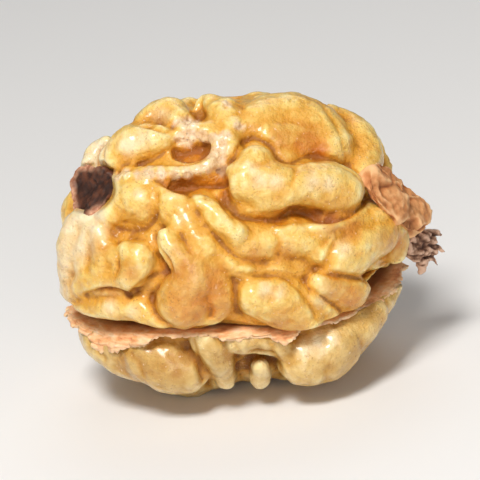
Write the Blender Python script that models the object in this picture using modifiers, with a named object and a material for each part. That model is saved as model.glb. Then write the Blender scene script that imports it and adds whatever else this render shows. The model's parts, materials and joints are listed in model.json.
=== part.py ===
"""Shelled walnut kernel, whole: two lobed halves with the papery dividing membrane between them.

Metres, +Z up, +X along the kernel, -Y towards the front. It rests on small flats under the lower half.
"""
import math

import bmesh
import bpy
import numpy as np
from mathutils import Matrix, Vector

for thing in list(bpy.data.objects):
    bpy.data.objects.remove(thing, do_unlink=True)

MM = 0.001

# ---- driving dimensions, millimetres -------------------------------------------------
HALF_LENGTH = 17.2          # the whole kernel is a lobed ovoid this long each way along X
HALF_DEPTH = 14.6           # and this deep each way along Y
HALF_HEIGHT = 15.0          # and this tall each way before its underside is flattened
CENTRE = Vector((-1.88, 0.22, 13.6))  # middle of the ovoid above the resting flats
SEAM_DROP = 4.7             # dividing membrane lies this far below the middle
CORE = 0.88                 # the plain body under the folds, as a share of the ovoid
LEAN = math.radians(20)     # folds of the front are laid out on a plane leaning back this much
SHEET = 0.6                 # membrane thickness
GAP = 0.3                   # clearance between neighbouring pieces
VOXEL = 1.05                # grain of the lobed bodies
SHRED_VOXEL = 0.32          # grain of the torn fibres
KEEP_SHARE = 0.6            # share of the facets kept once a half is joined
WAVE_UP = 0.9               # the membrane is this much higher at the front left
WAVE_DOWN = 0.4             # and this much lower at the front right
PITH_THICKNESS = 1.3        # corky flake on the right
LINING_THICKNESS = 0.8      # dark flake at the upper left
BALL_STEP = 0.7             # spacing of the balls that make a fold
BALL_SHARE = 1.03           # balls are this much larger than the fold, to make up for their facets
SKIN_ROUNDS = 2             # rounds of smoothing over a half's skin
TOOL_HALF_X, TOOL_HALF_Y = 22, 19     # cutting block along the seam, half its length and depth
TOOL_REACH = 22             # and its height away from the seam
TOOL_CELLS_X, TOOL_CELLS_Y = 18, 16   # cells of its wavy face
FLOOR_SIDE, FLOOR_THICK = 50, 5       # block that flattens the underside
EDGE_MEAN = 1.015           # the membrane's mean reach, as a share of the seam's outline
EDGE_RAGS = ((0.020, 3, 0.6), (0.016, 7, 2.1), (0.012, 13, 0.0))   # its rags: share, number round, phase
EDGE_SPOKES, EDGE_RINGS = 64, 4       # its grid

# Folds seen from the front: places across and up from the middle, then the fold's radius.
# The last entry of each row says how far its crest stands proud of the ovoid.
FRONT_UPPER = [
    # two-lobed fold over the middle
    ([(2.6, 5.4, 2.5), (3.6, 4.9, 2.9), (5.2, 4.4, 2.5), (7.0, 4.2, 2.1), (9.0, 3.9, 2.6),
      (10.6, 3.4, 2.6)], 1.5),
    ([(3.3, 6.8, 1.9), (3.2, 5.8, 2.4)], 1.4),
    # broad smooth lobe behind it and the folds down its right side
    ([(4.6, 9.6, 3.7), (7.2, 9.2, 4.0), (9.4, 7.6, 3.8)], -0.9),
    ([(11.5, 10.9, 0.9), (12.6, 10.2, 1.4), (13.6, 8.9, 1.7), (14.2, 7.2, 1.7), (14.2, 5.5, 1.5)], 0.0),
    # top knob, pale fold behind and smooth egg at the upper left
    ([(-0.2, 12.6, 1.5), (0.6, 12.0, 1.9), (1.2, 10.8, 1.7)], -0.2),
    ([(-6.4, 12.1, 1.2), (-5.1, 12.6, 1.5), (-3.7, 12.2, 1.5)], -0.2),
    ([(-9.7, 9.4, 1.7), (-8.6, 9.9, 2.2), (-7.2, 10.4, 2.3), (-5.8, 10.6, 1.7)], 0.5),
    ([(-12.3, 9.3, 0.9), (-11.6, 10.3, 1.0), (-10.8, 11.0, 0.9)], -0.6),
    ([(-5.5, 7.8, 1.4), (-2.6, 7.6, 1.5), (0.2, 8.4, 1.6)], -1.3),
    # left shoulder and broad left edge
    ([(-10.6, 5.0, 1.9), (-8.0, 5.2, 2.3), (-6.2, 4.8, 1.7)], 0.3),
    ([(-12.3, 4.4, 2.1), (-14.2, 2.8, 2.3), (-15.1, 0.8, 2.1), (-15.7, -1.2, 1.6), (-15.9, -2.7, 1.2)], 0.0),
    # hooked cluster of small bumps
    ([(-9.8, 0.3, 1.4), (-8.9, -0.3, 1.7), (-9.2, -1.4, 1.5), (-10.4, -2.0, 1.3), (-12.0, -1.2, 1.3)], 0.3),
    ([(-12.2, 2.2, 1.0), (-12.6, 0.8, 1.1), (-13.6, -1.8, 1.5)], -0.2),
    # fold along the seam at the lower left
    ([(-14.4, -4.0, 1.0), (-13.0, -4.4, 1.3), (-11.2, -4.9, 1.5), (-9.4, -5.6, 1.5), (-8.3, -6.4, 1.3)], 0.0),
    # drop-shaped fold coming down over the front
    ([(-5.9, 1.0, 1.2), (-5.1, -0.7, 1.6), (-4.2, -2.2, 2.1), (-4.7, -4.0, 2.6), (-5.2, -5.3, 2.7)], 0.8),
    ([(-2.6, -2.0, 1.7), (-2.2, -3.8, 2.1), (-2.2, -5.6, 2.0)], -0.1),
    # finger and the thin rim running on from it
    ([(-4.8, 4.2, 1.4), (-4.3, 2.6, 1.6), (-3.5, 1.0, 1.5), (-2.8, -0.6, 1.4)], 0.1),
    ([(-2.4, 3.7, 1.1), (-1.4, 2.7, 1.4), (-0.4, 1.6, 1.3)], 0.3),
    ([(-1.7, 0.2, 0.9), (-1.2, -1.2, 0.9), (-0.2, -2.5, 0.9), (1.4, -3.3, 0.9), (3.5, -3.7, 0.9),
      (5.8, -4.1, 0.9)], -0.3),
    # sunken floor between the middle fold and the rim
    ([(1.2, 0.6, 2.0), (2.6, -1.0, 2.0), (5.8, -1.2, 2.0), (7.8, -0.8, 1.8)], -2.4),
    ([(9.0, 0.2, 1.2), (11.5, 0.5, 1.2), (13.3, 1.0, 1.0)], -1.0),
    # hooked fold on the right and the lobe under it
    ([(15.3, -2.6, 1.6), (15.0, -1.4, 1.7), (13.4, -1.0, 1.9), (12.0, -1.9, 2.1), (10.6, -3.0, 2.3),
      (9.6, -4.3, 2.0)], 0.5),
    ([(15.1, -3.6, 1.3), (14.0, -3.9, 1.2)], 0.0),
    ([(9.0, -5.2, 1.5), (9.8, -6.2, 1.7), (10.9, -6.8, 1.6)], 0.0),
    ([(6.6, -5.6, 1.1), (7.6, -6.8, 1.3), (8.6, -7.9, 1.1)], 0.0),
    # smooth egg at the lower middle
    ([(1.4, -5.8, 1.7), (2.6, -6.0, 2.3), (4.2, -6.5, 2.5), (5.8, -7.4, 1.9), (7.0, -8.1, 1.2)], 0.4),
]
FRONT_LOWER = [
    ([(-14.6, -7.0, 1.4), (-13.0, -8.6, 1.9), (-10.8, -9.9, 2.2), (-8.4, -10.8, 2.5),
      (-6.6, -11.4, 2.6)], 0.2),
    ([(-3.4, -10.1, 1.5), (-2.0, -10.7, 1.6), (-2.2, -11.9, 1.2), (-2.1, -13.0, 1.1)], 0.0),
    ([(0.2, -9.9, 1.2), (1.9, -10.0, 1.2), (2.6, -11.0, 1.1)], -0.3),
    ([(0.9, -12.2, 1.1), (0.8, -13.3, 1.1)], 0.4),
    ([(4.6, -11.6, 2.4), (5.8, -11.6, 3.0), (7.2, -11.3, 3.1), (8.6, -10.7, 2.8), (9.8, -9.9, 2.2)], 0.5),
    ([(10.4, -10.0, 1.3), (12.4, -8.8, 1.1), (14.2, -7.4, 0.9)], 0.0),
    ([(8.4, -7.8, 2.2), (10.6, -7.6, 2.0)], -2.8),
]
# Folds of the far side and the rolls along the seam: degrees round from the front, height from the
# middle, radius.
BACK_UPPER = [
    ([(-84, -3.6, 1.4), (-60, -3.3, 1.6), (-36, -3.2, 1.7), (-12, -3.3, 1.7), (12, -3.4, 1.7),
      (36, -3.4, 1.7), (60, -3.5, 1.6), (82, -3.8, 1.4)], -1.0),
    ([(98, -4.6, 1.8), (101, 0.5, 2.2), (104, 4.0, 2.3), (110, 7.5, 2.2)], -0.2),
    ([(124, -4.6, 2.0), (128, 0.5, 2.4), (122, 4.5, 2.4), (132, 8.5, 2.5)], 0.0),
    ([(150, -4.6, 2.2), (150, 0.8, 2.5), (158, 4.0, 2.4), (152, 7.5, 2.2)], 0.0),
    ([(174, -4.6, 2.2), (178, 0.2, 2.6), (184, 4.0, 2.5), (176, 7.8, 2.3)], 0.0),
    ([(198, -4.6, 2.0), (202, 0.5, 2.4), (208, 4.0, 2.4), (202, 7.8, 2.4)], 0.0),
    ([(222, -4.6, 2.2), (226, 0.5, 2.5), (232, 4.5, 2.5), (226, 8.2, 2.3)], 0.0),
    ([(246, -4.6, 2.0), (250, 0.5, 2.3), (254, 4.0, 2.4), (250, 7.8, 2.2)], 0.0),
    ([(268, -4.6, 1.6), (270, 0.6, 1.9), (274, 4.0, 2.0)], -0.4),
    ([(100, 10.6, 2.0), (128, 11.4, 2.3), (154, 11.2, 2.3)], -0.4),
    ([(176, 11.2, 2.3), (200, 11.4, 2.3), (226, 11.0, 2.1)], -0.4),
    ([(130, 13.0, 2.2), (180, 13.2, 2.3), (220, 12.8, 2.1)], -0.8),
]
BACK_LOWER = [
    ([(-82, -6.0, 1.5), (-60, -6.3, 1.7), (-38, -6.4, 1.7), (-16, -6.5, 1.7), (6, -6.5, 1.7), (28, -6.4, 1.7),
      (50, -6.3, 1.7), (68, -6.2, 1.6), (86, -6.0, 1.6)], -0.2),
    ([(96, -5.0, 1.8), (104, -8.8, 2.1), (98, -11.0, 2.0)], 0.0),
    ([(122, -5.0, 2.1), (124, -9.2, 2.3), (134, -11.4, 2.0)], 0.0),
    ([(148, -5.0, 2.2), (152, -9.4, 2.4), (160, -11.6, 2.0)], 0.0),
    ([(174, -5.0, 2.2), (178, -9.4, 2.4), (186, -11.6, 2.1)], 0.0),
    ([(200, -5.0, 2.1), (204, -9.4, 2.3), (212, -11.6, 2.0)], 0.0),
    ([(226, -5.0, 2.2), (230, -9.4, 2.3), (238, -11.4, 2.0)], 0.0),
    ([(252, -5.0, 2.0), (256, -9.2, 2.2), (264, -11.0, 2.0)], 0.0),
    ([(276, -5.0, 1.6), (280, -8.8, 1.8), (286, -10.6, 1.7)], -0.2),
]
# Folds of the underside: places in X and Y from the middle, height of the crest over the floor, radius.
UNDERSIDE = [
    [(-9.5, 2.0, 0.9, 2.4), (-7.4, -1.2, -0.2, 2.7), (-6.4, -3.6, -0.7, 2.8), (-3.0, -5.2, 0.6, 2.2)],
    [(9.6, 1.6, 0.9, 2.4), (7.6, -1.4, -0.2, 2.7), (6.4, -3.8, -0.7, 2.8), (2.4, -4.6, 0.5, 2.2)],
    [(-6.0, 4.4, 0.6, 2.4), (-2.4, 6.4, -0.4, 2.6), (1.0, 7.0, -0.7, 2.8), (4.6, 5.6, 0.4, 2.5)],
    [(-3.6, 1.6, 0.4, 2.3), (0.4, 0.6, 0.2, 2.5), (4.0, 2.0, 0.4, 2.3)],
]
# Torn fibres: places across, up and out from the middle, then radius; they cross in one clump.
SHREDS = [
    [(17.4, -2.5, 1.9, 0.70), (18.2, -2.7, 1.3, 0.85), (19.2, -2.8, 0.7, 0.60), (20.2, -3.2, 0.3, 0.32)],
    [(17.4, -2.5, 1.9, 0.70), (18.0, -3.4, 1.2, 0.70), (18.9, -3.8, 0.7, 0.45), (19.6, -4.6, 0.3, 0.30)],
    [(17.4, -2.5, 1.9, 0.70), (17.6, -3.8, 1.4, 0.50), (18.0, -4.8, 0.8, 0.34)],
]
# Outlines of the two flakes: places across, up and out from the middle.
PITH_OUTLINE = [(14.5, 5.6, 7.2), (16.0, 4.7, 5.4), (17.2, 2.8, 4.4), (18.5, 1.4, 3.0), (18.8, 0.0, 2.4),
                (18.2, -1.4, 3.2), (17.3, -1.8, 4.6), (16.3, -1.0, 6.6), (15.2, 0.2, 8.4), (14.3, 1.3, 9.4),
                (13.6, 2.4, 10.2), (13.5, 3.6, 10.2), (13.7, 4.8, 9.2)]
LINING_OUTLINE = [(-12.6, 9.3, 4.2), (-13.7, 8.9, 3.0), (-14.5, 7.8, 2.8), (-14.9, 6.4, 3.4),
                  (-15.0, 5.0, 4.6), (-14.8, 3.8, 6.2), (-13.4, 4.2, 8.2), (-12.1, 5.4, 8.9),
                  (-11.0, 7.0, 8.7), (-11.6, 8.4, 6.6)]

ACROSS = Vector((1, 0, 0))
UP_PLANE = Vector((0, math.sin(LEAN), math.cos(LEAN)))
OUT_PLANE = Vector((0, -math.cos(LEAN), math.sin(LEAN)))


def group(name):
    made = bpy.data.collections.new(name)
    bpy.context.scene.collection.children.link(made)
    return made


WALNUT = group("walnut_kernel")
TOOLS = group("cutting_tools")


def finish(name, colour, roughness):
    """One named surface for one piece."""
    made = bpy.data.materials.new(name)
    made.use_nodes = True
    skin = made.node_tree.nodes["Principled BSDF"]
    skin.inputs["Base Color"].default_value = (*colour, 1)
    skin.inputs["Roughness"].default_value = roughness
    return made


def front_spot(across, up, radius, proud):
    """Middle of a fold seen from the front, set so that its crest stands proud of the ovoid."""
    left_over = 1 - (across / HALF_LENGTH) ** 2 - (up / HALF_HEIGHT) ** 2
    out = HALF_DEPTH * math.sqrt(max(left_over, 0.0)) + proud - radius
    return CENTRE + ACROSS * across + UP_PLANE * up + OUT_PLANE * out


def back_spot(degrees, height, radius, proud):
    """Middle of a fold of the far side."""
    turn = math.radians(degrees)
    share = math.sqrt(max(1 - (height / HALF_HEIGHT) ** 2, 0.0))
    place = Vector((HALF_LENGTH * share * math.sin(turn), -HALF_DEPTH * share * math.cos(turn), height))
    normal = Vector((place.x / HALF_LENGTH ** 2, place.y / HALF_DEPTH ** 2, place.z / HALF_HEIGHT ** 2))
    return CENTRE + place + normal.normalized() * (proud - radius)


def through(points):
    """Smooth run of places and radii through the given ones."""
    rows = np.array(points, float)
    reach = np.concatenate(([0], np.cumsum(np.linalg.norm(np.diff(rows[:, :3], axis=0), axis=1))))
    closed = np.vstack((2 * rows[0] - rows[1], rows, 2 * rows[-1] - rows[-2]))
    steps = max(4, int(reach[-1] / BALL_STEP))
    run = []
    for along in np.linspace(0, reach[-1], steps + 1):
        k = min(int(np.searchsorted(reach, along, side="right")) - 1, len(rows) - 2)
        t = (along - reach[k]) / (reach[k + 1] - reach[k])
        a, b, c, d = closed[k:k + 4]
        run.append(0.5 * ((2 * b) + (c - a) * t + (2 * a - 5 * b + 4 * c - d) * t ** 2
                          + (3 * b - a - 3 * c + d) * t ** 3))
    return run


def add_fold(shape, points):
    """A fold is a run of balls; the voxel remesh later joins them into one skin."""
    for x, y, z, radius in through(points):
        bmesh.ops.create_icosphere(shape, subdivisions=2, radius=radius * MM * BALL_SHARE,
                                   matrix=Matrix.Translation(Vector((x, y, z)) * MM))


def add_core(shape):
    size = Matrix.Diagonal((HALF_LENGTH * CORE, HALF_DEPTH * CORE, HALF_HEIGHT * CORE, 1))
    bmesh.ops.create_icosphere(shape, subdivisions=4, radius=MM,
                               matrix=Matrix.Translation(CENTRE * MM) @ size)


def solid(name, shape, surface, home):
    data = bpy.data.meshes.new(name)
    shape.to_mesh(data)
    shape.free()
    made = bpy.data.objects.new(name, data)
    home.objects.link(made)
    if surface:
        data.materials.append(surface)
    return made


def modifier(thing, kind, **settings):
    made = thing.modifiers.new(kind.title(), kind)
    for key, value in settings.items():
        setattr(made, key, value)
    return made


def seam_height(x, y):
    """Height of the middle of the membrane; x and y from the middle of the kernel."""
    left = math.exp(-((x + 6) ** 2 / 60 + (y + 13) ** 2 / 90))
    right = math.exp(-((x - 7) ** 2 / 40 + (y + 13) ** 2 / 90))
    return CENTRE.z - SEAM_DROP + WAVE_UP * left - WAVE_DOWN * right


def seam_tool(name, offset, far):
    """Block whose near face follows the seam at the given offset; it reaches to the height far."""
    shape = bmesh.new()
    bmesh.ops.create_grid(shape, x_segments=TOOL_CELLS_X, y_segments=TOOL_CELLS_Y, size=1,
                          matrix=Matrix.Diagonal((TOOL_HALF_X * MM, TOOL_HALF_Y * MM, 1, 1)))
    for v in shape.verts:
        x, y = v.co.x / MM, v.co.y / MM
        v.co = Vector((x + CENTRE.x, y + CENTRE.y, seam_height(x, y) + offset)) * MM
    raised = bmesh.ops.extrude_face_region(shape, geom=shape.faces[:])["geom"]
    for v in raised:
        if isinstance(v, bmesh.types.BMVert):
            v.co.z = far * MM
    bmesh.ops.recalc_face_normals(shape, faces=shape.faces[:])
    made = solid(name, shape, None, TOOLS)
    made.hide_render = True
    made.display_type = "WIRE"
    return made


def lobed(name, front, back, under, surface, seam_side):
    """A kernel half: core and folds joined into one skin, then cut along the seam."""
    shape = bmesh.new()
    add_core(shape)
    for points, proud in front:
        add_fold(shape, [(*front_spot(a, u, r, proud), r) for a, u, r in points])
    for points, proud in back:
        add_fold(shape, [(*back_spot(d, h, r, proud), r) for d, h, r in points])
    for points in under:
        add_fold(shape, [(CENTRE.x + x, CENTRE.y + y, crest + r, r) for x, y, crest, r in points])
    half = solid(name, shape, surface, WALNUT)
    modifier(half, "REMESH", mode="VOXEL", voxel_size=VOXEL * MM)
    modifier(half, "SMOOTH", factor=0.5, iterations=SKIN_ROUNDS)
    modifier(half, "DECIMATE", ratio=KEEP_SHARE)
    keep = seam_tool(name + "_room", seam_side * (SHEET / 2 + GAP), CENTRE.z + seam_side * TOOL_REACH)
    modifier(half, "BOOLEAN", operation="INTERSECT", solver="EXACT", object=keep)
    return half


def floor_tool():
    """Block that takes the lowest crests off flat at the floor."""
    shape = bmesh.new()
    bmesh.ops.create_cube(shape, size=1, matrix=Matrix.Translation((0, 0, -FLOOR_THICK * MM / 2))
                          @ Matrix.Diagonal((FLOOR_SIDE * MM, FLOOR_SIDE * MM, FLOOR_THICK * MM, 1)))
    made = solid("floor_room", shape, None, TOOLS)
    made.hide_render = True
    made.display_type = "WIRE"
    return made


def upper_half(surface):
    return lobed("upper_half", FRONT_UPPER, BACK_UPPER, [], surface, 1)


def lower_half(surface):
    half = lobed("lower_half", FRONT_LOWER, BACK_LOWER, UNDERSIDE, surface, -1)
    modifier(half, "BOOLEAN", operation="DIFFERENCE", solver="EXACT", object=floor_tool())
    return half


def edge_reach(turn):
    """Share of the seam outline the membrane reaches, ragged round its edge."""
    return EDGE_MEAN + sum(share * math.sin(count * turn + phase) for share, count, phase in EDGE_RAGS)


def dividing_membrane(surface):
    """Thin wavy sheet between the halves, its torn edge showing all round."""
    share = math.sqrt(1 - (SEAM_DROP / HALF_HEIGHT) ** 2)
    shape = bmesh.new()
    bmesh.ops.create_circle(shape, cap_ends=True, cap_tris=True, segments=EDGE_SPOKES, radius=1.0)
    bmesh.ops.subdivide_edges(shape, edges=[e for e in shape.edges if not e.is_boundary], cuts=EDGE_RINGS - 1,
                              use_grid_fill=True)
    for v in shape.verts:
        turn = math.atan2(v.co.y, v.co.x)
        reach = v.co.length * edge_reach(turn) * share
        x, y = HALF_LENGTH * reach * math.cos(turn), HALF_DEPTH * reach * math.sin(turn)
        v.co = Vector((x + CENTRE.x, y + CENTRE.y, seam_height(x, y))) * MM
    bmesh.ops.remove_doubles(shape, verts=shape.verts[:], dist=1e-6)
    sheet = solid("dividing_membrane", shape, surface, WALNUT)
    modifier(sheet, "SOLIDIFY", thickness=SHEET * MM, offset=0)
    return sheet


def grown_upper(upper):
    """The upper half a gap larger all round, to keep the flakes clear of it."""
    made = upper.copy()
    made.data = upper.data.copy()
    made.name = "upper_half_room"
    TOOLS.objects.link(made)
    for m in [m for m in made.modifiers if m.type == "BOOLEAN"]:
        made.modifiers.remove(m)
    modifier(made, "DISPLACE", strength=GAP * MM, mid_level=0.0)
    made.hide_render = True
    made.display_type = "WIRE"
    return made


def flake(name, outline, thickness, surface, room):
    """Broken plate: its outline is given across, up and out from the middle of the kernel."""
    shape = bmesh.new()
    corners = [shape.verts.new((CENTRE + ACROSS * a + UP_PLANE * u + OUT_PLANE * o) * MM)
               for a, u, o in outline]
    shape.faces.new(corners)
    bmesh.ops.triangulate(shape, faces=shape.faces[:])
    bmesh.ops.subdivide_edges(shape, edges=shape.edges[:], cuts=2, use_grid_fill=True)
    bmesh.ops.recalc_face_normals(shape, faces=shape.faces[:])
    piece = solid(name, shape, surface, WALNUT)
    modifier(piece, "SOLIDIFY", thickness=thickness * MM, offset=0)
    modifier(piece, "BOOLEAN", operation="DIFFERENCE", solver="EXACT", object=room)
    return piece


def pith_shreds(surface):
    """Torn fibres hanging from the lower edge of the pith flake, grown from one root."""
    shape = bmesh.new()
    for strip in SHREDS:
        add_fold(shape, [(*(CENTRE + ACROSS * a + UP_PLANE * u + OUT_PLANE * o), r) for a, u, o, r in strip])
    shreds = solid("pith_shreds", shape, surface, WALNUT)
    modifier(shreds, "REMESH", mode="VOXEL", voxel_size=SHRED_VOXEL * MM)
    return shreds


def build():
    skin_top = finish("kernel_skin_upper", (0.78, 0.50, 0.20), 0.42)
    skin_low = finish("kernel_skin_lower", (0.72, 0.47, 0.22), 0.45)
    papery = finish("membrane_paper", (0.50, 0.24, 0.12), 0.75)
    pith = finish("pith_brown_pink", (0.66, 0.36, 0.22), 0.80)
    lining = finish("lining_dark_brown", (0.07, 0.04, 0.03), 0.55)
    upper = upper_half(skin_top)
    lower_half(skin_low)
    dividing_membrane(papery)
    room = grown_upper(upper)
    flake("pith_flake", PITH_OUTLINE, PITH_THICKNESS, pith, room)
    flake("lining_flake", LINING_OUTLINE, LINING_THICKNESS, lining, room)
    pith_shreds(finish("pith_fibre", (0.35, 0.24, 0.18), 0.85))


build()
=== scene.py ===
"""Whole shelled walnut kernel: two folded waxy halves with the torn membrane between them."""
import json
import math

import bpy
import numpy as np
from mathutils import Matrix, Vector

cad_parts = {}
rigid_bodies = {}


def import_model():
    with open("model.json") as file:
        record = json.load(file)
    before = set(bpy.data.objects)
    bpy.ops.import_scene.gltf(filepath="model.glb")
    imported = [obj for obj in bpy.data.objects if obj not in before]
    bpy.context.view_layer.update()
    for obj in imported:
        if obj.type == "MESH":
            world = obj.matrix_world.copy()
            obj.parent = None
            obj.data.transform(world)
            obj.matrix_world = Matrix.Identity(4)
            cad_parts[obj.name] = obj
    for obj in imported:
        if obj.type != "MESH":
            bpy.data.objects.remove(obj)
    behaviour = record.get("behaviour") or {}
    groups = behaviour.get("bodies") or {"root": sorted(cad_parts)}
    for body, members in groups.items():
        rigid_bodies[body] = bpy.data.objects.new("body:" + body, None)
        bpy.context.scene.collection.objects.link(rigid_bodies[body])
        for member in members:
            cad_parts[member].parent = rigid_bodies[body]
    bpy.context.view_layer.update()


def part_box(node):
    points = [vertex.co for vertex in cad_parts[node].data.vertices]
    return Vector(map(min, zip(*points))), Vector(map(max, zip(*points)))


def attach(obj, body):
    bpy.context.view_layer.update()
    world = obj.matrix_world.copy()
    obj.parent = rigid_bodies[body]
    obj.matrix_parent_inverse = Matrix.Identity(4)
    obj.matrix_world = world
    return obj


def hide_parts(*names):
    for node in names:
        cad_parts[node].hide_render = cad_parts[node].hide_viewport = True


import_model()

MM = 0.001

# ---- the kernel's frame of work, millimetres ------------------------------------------
HALF_LENGTH, HALF_DEPTH, HALF_HEIGHT = 17.2, 14.6, 15.0   # ovoid that the folds fill
OFF_BOX_X, OFF_BOX_Y, OFF_BOX_Z = 0.23, 0.22, -0.27       # the ovoid's middle, from the boxes' middles
SEAM_DROP = 4.7            # the membrane lies this far below the ovoid's middle
CORE = 0.925               # plain body under the folds, as a share of the ovoid
LEAN = math.radians(20)    # the front is laid out on a plane leaning back this much
ROLL = math.radians(8)     # the kernel is looked at tipped this much, right end up
LENS, CAMERA_AWAY = 230, 0.30   # mm, and metres from the kernel's middle
GRAIN = 0.20               # grain of the halves' skin
SEAM_GAP = 0.30            # flesh keeps this far from the middle of the membrane
SOFTEN = 22                # rounds of smoothing that melt the folds together
STROKE_WIDTH = 1.8         # drawn strokes spread this much wider than written
STROKE_DEPTH = 0.75        # and creases go this share of their depth
SHEET_TURNS, SHEET_RINGS = 900, 46    # steps of the membrane's mesh, round and outwards
SHEET_THICK = 0.34         # the membrane's thickness
SHEET_REACH = 0.975        # the flesh's edge that it comes out of, as a share of the ovoid
SHEET_PLAIN = 0.2          # this share of its rings is the plain inside
SHEET_BAND = 1.6           # its wavy band starts this far inside the flesh's edge
NOISE_TURN = np.array(Matrix.Rotation(0.9, 3, (0.5, 0.7, 0.4)))   # no noise lattice lies level


def box_mm(node):
    low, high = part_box(node)
    return Vector(low) / MM, Vector(high) / MM


UPPER_LOW, UPPER_HIGH = box_mm("upper_half")
SHEET_LOW, SHEET_HIGH = box_mm("dividing_membrane")
SEAM_Z = (SHEET_LOW.z + SHEET_HIGH.z) / 2 + OFF_BOX_Z
CENTRE = Vector(((UPPER_LOW.x + UPPER_HIGH.x) / 2 + OFF_BOX_X, (UPPER_LOW.y + UPPER_HIGH.y) / 2 + OFF_BOX_Y,
                 SEAM_Z + SEAM_DROP))
ACROSS = Vector((1, 0, 0))
UP_PLANE = Vector((0, math.sin(LEAN), math.cos(LEAN)))
OUT_PLANE = Vector((0, -math.cos(LEAN), math.sin(LEAN)))

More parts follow.
